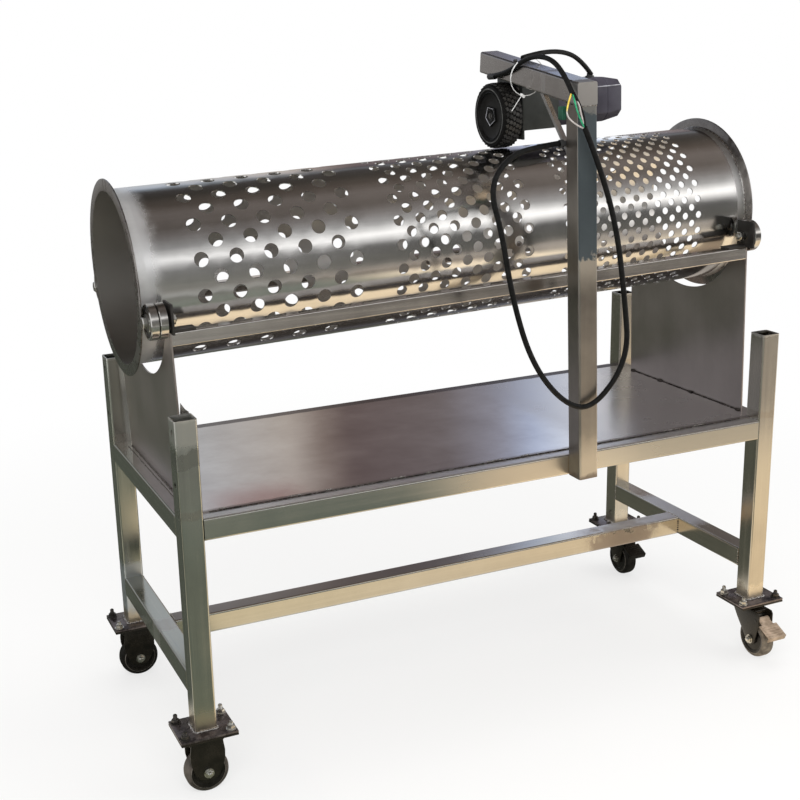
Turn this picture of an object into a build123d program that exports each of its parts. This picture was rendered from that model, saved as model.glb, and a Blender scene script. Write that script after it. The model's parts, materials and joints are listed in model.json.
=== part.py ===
"""A rotary drum sorter on a wheeled stainless table, built as separate named pieces.

Sizes are in millimetres. X runs along the machine from the low end on the left to the high end on the right,
Y runs away from the front, Z is up and the floor is at Z = 0.
"""

import math
import os

from build123d import *

os.makedirs("parts", exist_ok=True)

# The table frame: every bar of it is the same square tube.
TUBE = 40.0
TUBE_WALL = 2.0
TUBE_ROUND = 4.0
FRAME_LENGTH = 1250.0
FRAME_WIDTH = 526.0
LEG_FOOT = 125.0
LEG_HEIGHT = 572.0
RAIL_RISE = 395.0
CROSS_RISE = 103.0
RAIL_TOP = LEG_FOOT + RAIL_RISE
CROSS_TOP = LEG_FOOT + CROSS_RISE
LEG_X = (FRAME_LENGTH - TUBE) / 2
LEG_Y = (FRAME_WIDTH - TUBE) / 2
FRAME_FRONT = -FRAME_WIDTH / 2
END_HOLE_RADIUS = 4.5
END_HOLE_DROP = 23.0
END_HOLE_SPACING = 93.0
UPPER_END_HOLE = LEG_FOOT + LEG_HEIGHT - END_HOLE_DROP
END_HOLE_HEIGHTS = (UPPER_END_HOLE - END_HOLE_SPACING, UPPER_END_HOLE)

# The tray sheet that lies on the rails.
TRAY_THICKNESS = 2.0
TRAY_FRONT_INSET = 29.0
TRAY_SIDE_INSET = 2.0
POST_NOTCH_GAP = 0.5
TRAY_TOP = RAIL_TOP + TRAY_THICKNESS

# The drum and everything that is square to it leans by this slope, so the crop travels down to the left.
SLOPE = 1.65
DRUM_MID_X = -8.0
DRUM_MID_Z = 914.0
UPPER = Location((DRUM_MID_X, 0, DRUM_MID_Z), (0, -SLOPE, 0))

# The end panels stand inside the table's ends, and the drum reaches past them on both sides.
PANEL_INSET = 28.0
PANEL_REACH = FRAME_LENGTH / 2 - PANEL_INSET
OUTLET_OVERHANG = 41.0
INLET_OVERHANG = 26.0

# The drum, along its own axis.
DRUM_RADIUS = 156.0
DRUM_SHEET = 2.0
DRUM_LEFT = -PANEL_REACH - OUTLET_OVERHANG
DRUM_RIGHT = PANEL_REACH + INLET_OVERHANG
FLANGE_WIDTH = 19.0
FLANGE_RADIUS = DRUM_RADIUS + FLANGE_WIDTH
FLANGE_THICKNESS = 3.0
COLLAR_LENGTH = 22.0
SHELL_LEFT = DRUM_LEFT + COLLAR_LENGTH
SHELL_RIGHT = DRUM_RIGHT - COLLAR_LENGTH

# Three zones of holes, large at the low end. Rows run round the shell from a level row, with a plain strip for
# the seam underneath. The large rows are staggered; of the finer zones every second row is drawn.
HOLE_SIDES = 6
LARGE_HOLE = 26.0
LARGE_PITCH = 63.0
LARGE_INSET = 119.0
LARGE_PER_ROW = 5
LARGE_ROW_STEP = 11.6
LARGE_ROW_COUNT = 30
LARGE_LOWEST_ROW = -5
LARGE_LEVEL_ANGLE = 3.7
MEDIUM_HOLE = 20.4
MEDIUM_PITCH = 43.7
MEDIUM_INSET = 493.5
MEDIUM_PER_ROW = 7
MEDIUM_ROW_STEP = 16.2
MEDIUM_ROW_COUNT = 22
MEDIUM_LOWEST_ROW = -4
MEDIUM_LEVEL_ANGLE = 8.1
SMALL_HOLE = 13.8
SMALL_PITCH = 31.6
SMALL_INSET = 858.8
SMALL_PER_ROW = 10
SMALL_ROW_STEP = 11.66
SMALL_ROW_COUNT = 31
SMALL_LOWEST_ROW = -5
SMALL_LEVEL_ANGLE = 1.6

# End panels, roller rails and rollers, placed from the drum's axis.
PANEL_SHEET = 3.0
PANEL_DEEP = 460.0
NOTCH_GAP = 2.0
NOTCH_RADIUS = FLANGE_RADIUS + NOTCH_GAP
ROLLER_TUBE = 25.0
ROLLER_TUBE_WALL = 2.0
ROLLER_TUBE_ROUND = 3.0
ROLLER_RADIUS = 31.0
ROLLER_WIDTH = 16.0
ROLLER_GROOVE = 1.0
ROLLER_BORE = 15.0
ROLLER_DROP = 46.0
ROLLER_ABOVE_RAIL = 21.0
ROLLER_RAIL_TOP = -(ROLLER_DROP + ROLLER_ABOVE_RAIL)
CONTACT_GAP = 0.3
RUNNING_GAP = 0.05
SPACER = 3.0
ROLLER_REACH = DRUM_RADIUS + CONTACT_GAP + ROLLER_RADIUS
ROLLER_Y = math.sqrt(ROLLER_REACH**2 - ROLLER_DROP**2)
PANEL_PAST_ROLLER = 11.5
PANEL_HALF = ROLLER_Y + PANEL_PAST_ROLLER
BRACKET_SHEET = 4.0
BRACKET_INSIDE = 15.5
BRACKET_OUTSIDE = 32.5
BRACKET_INNER = ROLLER_Y - BRACKET_INSIDE
BRACKET_OUTER = ROLLER_Y + BRACKET_OUTSIDE
BRACKET_RISE = 52.0
BRACKET_FOOT = 46.0
BOLT_RADIUS = 6.0
BOLT_FLATS = 18.0
BOLT_HEAD = 7.5
NUT_HEIGHT = 10.0
BOLT_END = 3.0
SLOT_PLAY = 0.3
SLOT_LENGTH = 14.0
LOW_END_ROLLER_COUNT = 2
HIGH_END_ROLLER_COUNT = 1

# The drive head: post, sloping arm, bracket, gear motor and rubber wheel.
POST_X = 129.8
POST_BACK = FRAME_FRONT
POST_FRONT = POST_BACK - TUBE
POST_DROP = 437.0
POST_BOTTOM = -POST_DROP
ARM_SLOPE = 8.5
ARM_RISE = math.tan(math.radians(ARM_SLOPE))
ARM_END = 42.0
WHEEL_RADIUS = 63.0
WHEEL_WIDTH = 43.0
WHEEL_LEFT = 124.0
WHEEL_GAP = 0.4
WHEEL_HEIGHT = DRUM_RADIUS + WHEEL_GAP + WHEEL_RADIUS
ARM_CLEARANCE = 11.5
ARM_UNDER = WHEEL_HEIGHT + WHEEL_RADIUS + ARM_CLEARANCE
BRACE_WIDTH = 9.0
BRACE_SHIFT = -6.0
BRACE_DEPTH = 11.0
BRACE_REACH = 101.0
BRACE_DROP = 105.0
PLATE = 4.0
PLATE_LEFT = POST_X + TUBE
PLATE_RIGHT = PLATE_LEFT + PLATE
GEARBOX = 90.0
GEARBOX_LENGTH = 68.0
SHAFT_OFFSET = 15.0
GEARBOX_HEIGHT = WHEEL_HEIGHT + SHAFT_OFFSET
GEARBOX_GAP = 1.0
PLATE_BELOW_SHAFT = 46.0
PLATE_ABOVE_SHAFT = 106.0
PLATE_BOTTOM = WHEEL_HEIGHT - PLATE_BELOW_SHAFT
PLATE_TOP = WHEEL_HEIGHT + PLATE_ABOVE_SHAFT
SKIRT_STEP = 17.0
SKIRT_BOTTOM = PLATE_BOTTOM + SKIRT_STEP
SKIRT_LENGTH = 78.0
GEARBOX_ROUND = 6.0
BOSS_RADIUS = 17.0
BOSS_INSET = 1.0
SHAFT_RADIUS = 6.0
MOTOR = 86.0
MOTOR_CORNER = 17.0
MOTOR_SEAM = 4.0
MOTOR_LIP = 2.0
MOTOR_LENGTH = 122.0
CAP_LENGTH = 38.0
CAP_SLOPE = 10.5
TYRE_DEPTH = 17.0
TYRE_SHOULDER = 6.0
TREAD_SLOTS = 18
TREAD_SLOT = 5.0
TREAD_DEPTH = 3.0
RIM_WALL = 4.0
RIM_INSET = 2.0
WEB = 5.0
WEB_INSET = 12.0
HUB_RADIUS = 16.0
HUB_LENGTH = 27.0
STAR_RADIUS = 21.0
STAR_THICKNESS = 4.0
SHAFT_TIP = 3.0

# Casters: two rigid ones at the low end and two swivelling ones with brakes at the high end.
FOOT_X = 105.0
FOOT_Y = 86.0
FOOT_SHEET = 5.0
CASTER_SHEET = 4.0
CASTER_TOP = LEG_FOOT - FOOT_SHEET
FORK_TOP = CASTER_TOP - CASTER_SHEET
CASTER_BOLT_X = 42.0
CASTER_BOLT_Y = 31.0
CASTER_BOLT_FLATS = 13.0
CASTER_BOLT_HEAD = 7.0
CASTER_RADIUS = 40.0
CASTER_WIDTH = 30.0
CASTER_SHOULDER = 4.0
HUB_GAP = 0.8
CHEEK = 3.0
AXLE_RADIUS = 5.0
AXLE_HEAD = 5.0
AXLE_FLATS = 14.0
CHEEK_NOSE = 13.0
RIGID_HALF = 31.0
RIGID_WAIST = 27.0
RIGID_WAIST_DROP = 34.0
TRAIL = 30.0
RACE_RADIUS = 29.0
RACE_FOOT = 24.0
RACE_HEIGHT = 9.0
YOKE_SHEET = 5.0
YOKE_BACK = 25.0
YOKE_FRONT = 35.0
CHEEK_FRONT = 54.0
CHEEK_FRONT_LOW = 80.0
KINGPIN_RADIUS = 6.0
KINGPIN_HEAD = 10.0
KINGPIN_HEAD_HEIGHT = 4.0
PEDAL_PIN_U = 45.0
PEDAL_PIN_Z = 87.0
PEDAL_PIN = 3.0
PEDAL_BARREL = 6.0
PEDAL_SHEET = 3.0
PEDAL_NECK = 14.0
PEDAL_HALF = 22.0
PEDAL_START = 60.0
PEDAL_END = 92.0
PEDAL_SLOPE = 25.0
PEDAL_LIP = 9.0

# Cables and the small clips that hold them.
CABLE_RADIUS = 5.0
LEAD_RADIUS = 4.5
WIRE_RADIUS = 1.5
BEND_SHARE = 0.45
CLIP_WIDTH = 14.0
CLIP_HEIGHT = 16.0
POST_CLIP_OVERHANG = 3.0
POST_CLIP_WIDTH = 12.5
POST_CLIP_DROP = 77.6
ARM_CLIP_BACK = 13.0
ARM_CLIP_DROP = 2.0
TOP_CLIP_BACK = 86.0
TOP_CLIP_INSET = 2.0
GLAND_X = 345.0
GLAND_Y = -14.0
GLAND_RADIUS = 8.0
GLAND_HEIGHT = 10.0
TERMINAL_WIDTH = 20.0
TERMINAL_OVERHANG = 6.0
TERMINAL_DEPTH = 15.0
TERMINAL_DROP = 30.0
TERMINAL_HEIGHT = 23.0

# Cutters run this far past the faces they open.
CUT = 1.0

nodes = {}
cord_nodes = []


def block(x, y, z):
    """A box given by its three pairs of limits."""
    size = Box(x[1] - x[0], y[1] - y[0], z[1] - z[0])
    return Pos((x[0] + x[1]) / 2, (y[0] + y[1]) / 2, (z[0] + z[1]) / 2) * size


def rod(radius, start, end, y=0.0, z=0.0):
    """A round bar along X between two positions."""
    return Pos((start + end) / 2, y, z) * Rot(0, 90, 0) * Cylinder(radius, abs(end - start))


def hexagon(flats, start, end, y=0.0, z=0.0):
    """A six-sided prism along X, as a nut or a bolt head."""
    face = Plane(origin=(min(start, end), y, z), x_dir=(0, 1, 0), z_dir=(1, 0, 0))
    return extrude(face * RegularPolygon(flats / 2, 6, major_radius=False), abs(end - start))


def square_tube(length, size=TUBE, wall=TUBE_WALL, corner=TUBE_ROUND):
    """A square tube along Z, from the origin upwards, open at both ends."""
    section = RectangleRounded(size, size, corner) - Rectangle(size - 2 * wall, size - 2 * wall)
    return extrude(section, length)


def tube_along_x(left, right, y, z, size=TUBE, wall=TUBE_WALL, corner=TUBE_ROUND):
    return Pos(left, y, z) * Rot(0, 90, 0) * square_tube(right - left, size, wall, corner)


def tube_along_y(front, back, x, z):
    return Pos(x, front, z) * Rot(-90, 0, 0) * square_tube(back - front)


def profile_yz(points, left, right):
    """A flat outline in the YZ plane, given thickness between two X positions."""
    face = make_face(Polyline(*[(left, y, z) for y, z in points], close=True))
    return extrude(face, right - left, dir=(1, 0, 0))


def profile_xz(points, front, back):
    """A flat outline in the XZ plane, given thickness between two Y positions."""
    face = make_face(Polyline(*[(x, front, z) for x, z in points], close=True))
    return extrude(face, back - front, dir=(0, 1, 0))


# The table frame.
for side_name, side in (("left", -1), ("right", 1)):
    for row_name, row in (("front", -1), ("back", 1)):
        post = Pos(side * LEG_X, row * LEG_Y, LEG_FOOT) * square_tube(LEG_HEIGHT)
        if side < 0:
            for height in END_HOLE_HEIGHTS:
                post -= rod(END_HOLE_RADIUS, -LEG_X - TUBE, -LEG_X, row * LEG_Y, height)
        nodes[f"{side_name}_{row_name}_post"] = post

INNER_X = LEG_X - TUBE / 2
INNER_Y = LEG_Y - TUBE / 2
RAIL_MID = RAIL_TOP - TUBE / 2
CROSS_MID = CROSS_TOP - TUBE / 2
nodes["front_table_rail"] = tube_along_x(-INNER_X, INNER_X, -LEG_Y, RAIL_MID)
nodes["back_table_rail"] = tube_along_x(-INNER_X, INNER_X, LEG_Y, RAIL_MID)
nodes["left_table_rail"] = tube_along_y(-INNER_Y, INNER_Y, -LEG_X, RAIL_MID)
nodes["right_table_rail"] = tube_along_y(-INNER_Y, INNER_Y, LEG_X, RAIL_MID)
nodes["left_cross_bar"] = tube_along_y(-INNER_Y, INNER_Y, -LEG_X, CROSS_MID)
nodes["right_cross_bar"] = tube_along_y(-INNER_Y, INNER_Y, LEG_X, CROSS_MID)
nodes["long_stretcher"] = tube_along_x(-INNER_X, INNER_X, 0, CROSS_MID)

tray_x = FRAME_LENGTH / 2 - TRAY_SIDE_INSET
tray = block(
    (-tray_x, tray_x),
    (FRAME_FRONT + TRAY_FRONT_INSET, FRAME_WIDTH / 2),
    (RAIL_TOP, TRAY_TOP),
)
for side in (-1, 1):
    for row in (-1, 1):
        notch = TUBE + 2 * POST_NOTCH_GAP
        tray -= Pos(side * LEG_X, row * LEG_Y, RAIL_TOP) * Box(notch, notch, 4 * TRAY_THICKNESS)
nodes["tray_sheet"] = tray

# End panels, square to the drum and trimmed where they stand on the tray.
above_tray = block((-FRAME_LENGTH, FRAME_LENGTH), (-FRAME_WIDTH, FRAME_WIDTH), (TRAY_TOP, 3 * FRAME_LENGTH))
for side_name, side in (("left", -1), ("right", 1)):
    inner = side * (PANEL_REACH - PANEL_SHEET)
    outer = side * PANEL_REACH
    panel = block(
        (min(inner, outer), max(inner, outer)), (-PANEL_HALF, PANEL_HALF), (-PANEL_DEEP, ROLLER_RAIL_TOP)
    )
    panel -= rod(NOTCH_RADIUS, inner - side * PANEL_SHEET, outer + side * PANEL_SHEET)
    nodes[f"{side_name}_end_panel"] = (UPPER * panel) & above_tray

# Roller rails between the panels.
rail_reach = PANEL_REACH - PANEL_SHEET
rail_y = PANEL_HALF - ROLLER_TUBE / 2
rail_mid = ROLLER_RAIL_TOP - ROLLER_TUBE / 2
for row_name, row in (("front", -1), ("back", 1)):
    rail = tube_along_x(
        -rail_reach, rail_reach, row * rail_y, rail_mid, ROLLER_TUBE, ROLLER_TUBE_WALL, ROLLER_TUBE_ROUND
    )
    nodes[f"{row_name}_roller_rail"] = UPPER * rail

# Rollers: two bearings side by side at the low end, one at the high end.
brackets = []
roller_bolts = []
roller_nuts = []
sleeves = []
roller_ends = (("left", -1, LOW_END_ROLLER_COUNT), ("right", 1, HIGH_END_ROLLER_COUNT))
for side_name, side, count in roller_ends:
    for row_name, row in (("front", -1), ("back", 1)):
        centre = (row * ROLLER_Y, -ROLLER_DROP)
        outer = side * PANEL_REACH
        inner = side * (PANEL_REACH - BRACKET_SHEET)
        leg_x = (min(inner, outer), max(inner, outer))
        leg_y = sorted((row * BRACKET_INNER, row * BRACKET_OUTER))
        leg = block(leg_x, leg_y, (ROLLER_RAIL_TOP, ROLLER_RAIL_TOP + BRACKET_RISE))
        foot_end = side * (PANEL_REACH - BRACKET_FOOT)
        foot_y = sorted((row * (PANEL_HALF - ROLLER_TUBE), row * PANEL_HALF))
        foot_x = sorted((inner, foot_end))
        leg += block(foot_x, foot_y, (ROLLER_RAIL_TOP, ROLLER_RAIL_TOP + BRACKET_SHEET))
        slot = SlotCenterToCenter(SLOT_LENGTH, 2 * (BOLT_RADIUS + SLOT_PLAY))
        slot_face = Plane(origin=(leg_x[0] - CUT, *centre), x_dir=(0, 1, 0), z_dir=(1, 0, 0))
        leg -= extrude(slot_face * slot, BRACKET_SHEET + 2 * CUT)
        brackets.append(leg)

        roller_start = PANEL_REACH + SPACER
        roller_end = roller_start + count * ROLLER_WIDTH
        sleeve = rod(ROLLER_BORE, side * PANEL_REACH, side * roller_end, *centre)
        sleeve -= rod(BOLT_RADIUS, side * (PANEL_REACH - CUT), side * (roller_end + CUT), *centre)
        sleeves.append(sleeve)

        head_end = roller_end + BOLT_HEAD
        nut_end = PANEL_REACH - BRACKET_SHEET - NUT_HEIGHT
        bolt = rod(BOLT_RADIUS, side * (nut_end - BOLT_END), side * roller_end, *centre)
        bolt += hexagon(BOLT_FLATS, side * roller_end, side * head_end, *centre)
        roller_bolts.append(bolt)
        nut = hexagon(BOLT_FLATS, side * nut_end, inner, *centre)
        nut -= rod(BOLT_RADIUS, side * (nut_end - CUT), inner + side * CUT, *centre)
        roller_nuts.append(nut)

        rings = []
        for index in range(count):
            ring_start = roller_start + index * ROLLER_WIDTH + ROLLER_GROOVE / 2
            ring_end = ring_start + ROLLER_WIDTH - ROLLER_GROOVE
            ring = rod(ROLLER_RADIUS, side * ring_start, side * ring_end, *centre)
            ring -= rod(ROLLER_BORE + RUNNING_GAP, side * (ring_start - CUT), side * (ring_end + CUT), *centre)
            rings.append(UPPER * ring)
        nodes[f"{side_name}_{row_name}_roller"] = Compound(rings)
nodes["roller_brackets"] = Compound([UPPER * piece for piece in brackets])
nodes["roller_bolts"] = Compound([UPPER * piece for piece in roller_bolts])
nodes["roller_nuts"] = Compound([UPPER * piece for piece in roller_nuts])
nodes["roller_sleeves"] = Compound([UPPER * piece for piece in sleeves])

# The drum: a perforated shell between two flanged end rings.
bore = DRUM_RADIUS - DRUM_SHEET
for side_name, tip, inward in (("left", DRUM_LEFT, 1), ("right", DRUM_RIGHT, -1)):
    ring = rod(FLANGE_RADIUS, tip, tip + inward * FLANGE_THICKNESS)
    ring += rod(DRUM_RADIUS, tip, tip + inward * COLLAR_LENGTH)
    ring -= rod(bore, tip - inward * CUT, tip + inward * (COLLAR_LENGTH + CUT))
    nodes[f"{side_name}_drum_ring"] = UPPER * ring



def punched_rows(hole, pitch, inset, per_row, step, count, lowest, level, stagger=0.0):
    """Cutters for one zone of holes, in rows along the drum."""
    base = Plane(origin=(0, 0, bore - CUT), x_dir=(1, 0, 0), z_dir=(0, 0, 1))
    cutter = extrude(base * RegularPolygon(hole / 2, HOLE_SIDES), DRUM_SHEET + 2 * CUT)
    cutters = []
    for row in range(lowest, lowest + count):
        turn = Rot(90 - level - row * step, 0, 0)
        first = DRUM_LEFT + inset + (stagger if row % 2 == 0 else 0.0)
        cutters += [turn * Pos(first + column * pitch, 0, 0) * cutter for column in range(per_row)]
    return cutters


shell = rod(DRUM_RADIUS, SHELL_LEFT, SHELL_RIGHT) - rod(bore, SHELL_LEFT - CUT, SHELL_RIGHT + CUT)
holes = punched_rows(
    LARGE_HOLE, LARGE_PITCH, LARGE_INSET, LARGE_PER_ROW, LARGE_ROW_STEP, LARGE_ROW_COUNT,
    LARGE_LOWEST_ROW, LARGE_LEVEL_ANGLE, LARGE_PITCH / 2,
)
holes += punched_rows(
    MEDIUM_HOLE, MEDIUM_PITCH, MEDIUM_INSET, MEDIUM_PER_ROW, MEDIUM_ROW_STEP, MEDIUM_ROW_COUNT,
    MEDIUM_LOWEST_ROW, MEDIUM_LEVEL_ANGLE,
)
holes += punched_rows(
    SMALL_HOLE, SMALL_PITCH, SMALL_INSET, SMALL_PER_ROW, SMALL_ROW_STEP, SMALL_ROW_COUNT,
    SMALL_LOWEST_ROW, SMALL_LEVEL_ANGLE,
)
shell = shell.cut(*holes)
nodes["drum_shell"] = UPPER * shell


# The drive head.
def arm_under(y):
    """Height of the arm's underside above the drum's axis."""
    return ARM_UNDER + y * ARM_RISE


post_right = POST_X + TUBE
post_outline = [
    (POST_FRONT, POST_BOTTOM),
    (POST_BACK, POST_BOTTOM),
    (POST_BACK, arm_under(POST_BACK)),
    (POST_FRONT, arm_under(POST_FRONT)),
]
drive_post = profile_yz(post_outline, POST_X, post_right)
drive_post = fillet(drive_post.edges().filter_by(Axis.Z), TUBE_ROUND)
drive_post -= block(
    (POST_X + TUBE_WALL, post_right - TUBE_WALL),
    (POST_FRONT + TUBE_WALL, POST_BACK - TUBE_WALL),
    (POST_BOTTOM - CUT, arm_under(0)),
)
nodes["drive_post"] = UPPER * drive_post

arm_cos = math.cos(math.radians(ARM_SLOPE))
arm_sin = math.sin(math.radians(ARM_SLOPE))


def arm_outline(front, end, low, high):
    """The arm seen from its side: plumb at the front, square to its length at the far end."""
    return [
        (front, arm_under(front) + low / arm_cos),
        (end - low * arm_sin, arm_under(end) + low * arm_cos),
        (end - high * arm_sin, arm_under(end) + high * arm_cos),
        (front, arm_under(front) + high / arm_cos),
    ]


drive_arm = profile_yz(arm_outline(POST_FRONT, ARM_END, 0, TUBE), POST_X, post_right)
arm_edges = drive_arm.edges().filter_by(lambda edge: edge.length > 2 * TUBE)
drive_arm = fillet(arm_edges, TUBE_ROUND)
drive_arm -= profile_yz(
    arm_outline(POST_FRONT + TUBE_WALL, ARM_END + TUBE, TUBE_WALL, TUBE - TUBE_WALL),
    POST_X + TUBE_WALL,
    post_right - TUBE_WALL,
)
nodes["drive_arm"] = UPPER * drive_arm

brace_low = arm_under(POST_BACK) - BRACE_DROP
brace_end = POST_BACK + BRACE_REACH
brace_outline = [
    (POST_BACK, brace_low),
    (brace_end, arm_under(brace_end)),
    (brace_end - BRACE_DEPTH, arm_under(brace_end - BRACE_DEPTH)),
    (POST_BACK, brace_low + BRACE_DEPTH),
]
brace_mid = POST_X + TUBE / 2 + BRACE_SHIFT
nodes["knee_brace"] = UPPER * profile_yz(brace_outline, brace_mid - BRACE_WIDTH / 2, brace_mid + BRACE_WIDTH / 2)

half_box = GEARBOX / 2
skirt_back = -half_box - GEARBOX_GAP
bracket = block((PLATE_LEFT, PLATE_RIGHT), (skirt_back - PLATE, half_box), (PLATE_BOTTOM, PLATE_TOP))
bracket += block(
    (PLATE_LEFT, PLATE_RIGHT + SKIRT_LENGTH),
    (skirt_back - PLATE, skirt_back),
    (SKIRT_BOTTOM, arm_under(skirt_back)),
)
bracket -= rod(BOSS_RADIUS, PLATE_LEFT - CUT, PLATE_RIGHT + CUT, 0, WHEEL_HEIGHT)
nodes["motor_bracket"] = UPPER * bracket

gearbox = block(
    (PLATE_RIGHT, PLATE_RIGHT + GEARBOX_LENGTH),
    (-half_box, half_box),
    (GEARBOX_HEIGHT - half_box, GEARBOX_HEIGHT + half_box),
)
gearbox = fillet(gearbox.edges().filter_by(Axis.X), GEARBOX_ROUND)
gearbox += rod(BOSS_RADIUS, PLATE_LEFT + BOSS_INSET, PLATE_RIGHT, 0, WHEEL_HEIGHT)
gearbox -= rod(SHAFT_RADIUS + RUNNING_GAP, PLATE_LEFT, PLATE_RIGHT + GEARBOX_LENGTH / 2, 0, WHEEL_HEIGHT)
nodes["gearbox"] = UPPER * gearbox


def octagon(size, start, end, taper=0.0):
    """The motor's eight-sided body along X, which may taper by an angle."""
    half = size / 2
    outline = []
    for y_sign, z_sign in ((-1, -1), (1, -1), (1, 1), (-1, 1)):
        tall = (y_sign * half, z_sign * (half - MOTOR_CORNER))
        wide = (y_sign * (half - MOTOR_CORNER), z_sign * half)
        outline += [tall, wide] if y_sign * z_sign > 0 else [wide, tall]
    flat = Plane(origin=(start, 0, GEARBOX_HEIGHT), x_dir=(0, 1, 0), z_dir=(1, 0, 0))
    return extrude(flat * make_face(Polyline(*outline, close=True)), end - start, taper=taper)


seam_start = PLATE_RIGHT + GEARBOX_LENGTH
body_start = seam_start + MOTOR_SEAM
cap_start = body_start + MOTOR_LENGTH
nodes["motor_flange"] = UPPER * octagon(MOTOR + 2 * MOTOR_LIP, seam_start, body_start)
nodes["motor_body"] = UPPER * octagon(MOTOR, body_start, cap_start)
nodes["motor_cap"] = UPPER * octagon(MOTOR, cap_start, cap_start + CAP_LENGTH, CAP_SLOPE)

# The drive wheel: rubber tyre, dished rim, hub ring and the gearbox's output shaft.
wheel_right = WHEEL_LEFT + WHEEL_WIDTH
tyre_bore = WHEEL_RADIUS - TYRE_DEPTH
tyre = rod(WHEEL_RADIUS, WHEEL_LEFT, wheel_right)
tyre = chamfer(tyre.edges().filter_by(GeomType.CIRCLE), TYRE_SHOULDER)
tyre -= rod(tyre_bore, WHEEL_LEFT - CUT, wheel_right + CUT)
slots = []
for index in range(TREAD_SLOTS):
    slot_box = Pos(WHEEL_LEFT + WHEEL_WIDTH / 2, 0, WHEEL_RADIUS) * Box(2 * WHEEL_WIDTH, TREAD_SLOT, 2 * TREAD_DEPTH)
    slots.append(Rot(index * 360 / TREAD_SLOTS, 0, 0) * slot_box)
tyre = tyre.cut(*slots)
nodes["drive_tyre"] = UPPER * Pos(0, 0, WHEEL_HEIGHT) * tyre

web_start = WHEEL_LEFT + WEB_INSET
rim = rod(tyre_bore, WHEEL_LEFT + RIM_INSET, wheel_right - RIM_INSET)
rim -= rod(tyre_bore - RIM_WALL, WHEEL_LEFT, wheel_right)
rim += rod(tyre_bore - RIM_WALL / 2, web_start, web_start + WEB)
rim += rod(HUB_RADIUS, web_start, web_start + HUB_LENGTH)
rim -= rod(SHAFT_RADIUS, WHEEL_LEFT, wheel_right)
nodes["drive_rim"] = UPPER * Pos(0, 0, WHEEL_HEIGHT) * rim

star_start = web_start - STAR_THICKNESS
star_face = Plane(origin=(star_start, 0, 0), x_dir=(0, 1, 0), z_dir=(1, 0, 0))
star = extrude(star_face * RegularPolygon(STAR_RADIUS, 5), STAR_THICKNESS)
star -= rod(SHAFT_RADIUS, star_start - CUT, web_start + CUT)
nodes["hub_ring"] = UPPER * Pos(0, 0, WHEEL_HEIGHT) * star
shaft_start = star_start - SHAFT_TIP
nodes["output_shaft"] = UPPER * rod(SHAFT_RADIUS, shaft_start, PLATE_RIGHT + GEARBOX_LENGTH / 3, 0, WHEEL_HEIGHT)

# Casters.
axle_z = CASTER_RADIUS
cheek_inner = CASTER_WIDTH / 2 + HUB_GAP
cheek_outer = cheek_inner + CHEEK
corners = [(side * LEG_X, row * LEG_Y) for side in (-1, 1) for row in (-1, 1)]
bolt_spots = [(a * CASTER_BOLT_X, b * CASTER_BOLT_Y) for a in (-1, 1) for b in (-1, 1)]


def plate(top, thickness):
    """A foot or caster plate, centred on the leg."""
    return Pos(0, 0, top - thickness / 2) * Box(FOOT_X, FOOT_Y, thickness)


def caster_bolt():
    """The hexagon of a plate bolt, standing on the foot plate."""
    top = Plane(origin=(0, 0, LEG_FOOT))
    return extrude(top * RegularPolygon(CASTER_BOLT_FLATS / 2, 6, major_radius=False), CASTER_BOLT_HEAD)


def caster_wheel():
    """A wheel whose axle lies along Y at the origin."""
    wheel = Rot(90, 0, 0) * Cylinder(CASTER_RADIUS, CASTER_WIDTH)
    wheel = chamfer(wheel.edges().filter_by(GeomType.CIRCLE), CASTER_SHOULDER)
    return wheel - Rot(90, 0, 0) * Cylinder(AXLE_RADIUS + RUNNING_GAP, 2 * CASTER_WIDTH)


def caster_axle():
    """A hexagon-headed axle along Y at the origin, with its nut drawn as part of it."""
    axle = Rot(90, 0, 0) * Cylinder(AXLE_RADIUS, 2 * cheek_outer)
    for sign in (-1, 1):
        face = Plane(origin=(0, sign * cheek_outer, 0), x_dir=(1, 0, 0), z_dir=(0, sign, 0))
        axle += extrude(face * RegularPolygon(AXLE_FLATS / 2, 6, major_radius=False), AXLE_HEAD)
    return axle


def cheeks(outline, axle_x):
    """Two fork cheeks along Y from one outline, drilled for the axle and rounded round it."""
    pair = []
    for front, back in ((-cheek_outer, -cheek_inner), (cheek_inner, cheek_outer)):
        cheek = profile_xz(outline, front, back)
        middle = (front + back) / 2
        cheek += Pos(axle_x, middle, axle_z) * Rot(90, 0, 0) * Cylinder(CHEEK_NOSE, CHEEK)
        cheek -= Pos(axle_x, middle, axle_z) * Rot(90, 0, 0) * Cylinder(AXLE_RADIUS, 2 * CHEEK)
        pair.append(cheek)
    return pair


foot_plates = []
caster_bolts = []
for x, y in corners:
    foot_plates.append(Pos(x, y, 0) * plate(LEG_FOOT, FOOT_SHEET))
    for bolt_x, bolt_y in bolt_spots:
        caster_bolts.append(Pos(x + bolt_x, y + bolt_y, 0) * caster_bolt())
nodes["foot_plates"] = Compound(foot_plates)
nodes["caster_bolts"] = Compound(caster_bolts)

rigid_outline = [
    (-RIGID_HALF, FORK_TOP),
    (RIGID_HALF, FORK_TOP),
    (RIGID_WAIST, FORK_TOP - RIGID_WAIST_DROP),
    (CHEEK_NOSE, axle_z),
    (-CHEEK_NOSE, axle_z),
    (-RIGID_WAIST, FORK_TOP - RIGID_WAIST_DROP),
]
rigid_forks = []
rigid_axles = []
for row_name, row in (("front", -1), ("back", 1)):
    spot = Pos(-LEG_X, row * LEG_Y, 0)
    fork = plate(CASTER_TOP, CASTER_SHEET)
    for cheek in cheeks(rigid_outline, 0):
        fork += cheek
    rigid_forks.append(spot * fork)
    rigid_axles.append(spot * Pos(0, 0, axle_z) * caster_axle())
    nodes[f"left_{row_name}_caster_wheel"] = spot * Pos(0, 0, axle_z) * caster_wheel()
nodes["rigid_caster_forks"] = Compound(rigid_forks)
nodes["rigid_caster_axles"] = Compound(rigid_axles)

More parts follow.
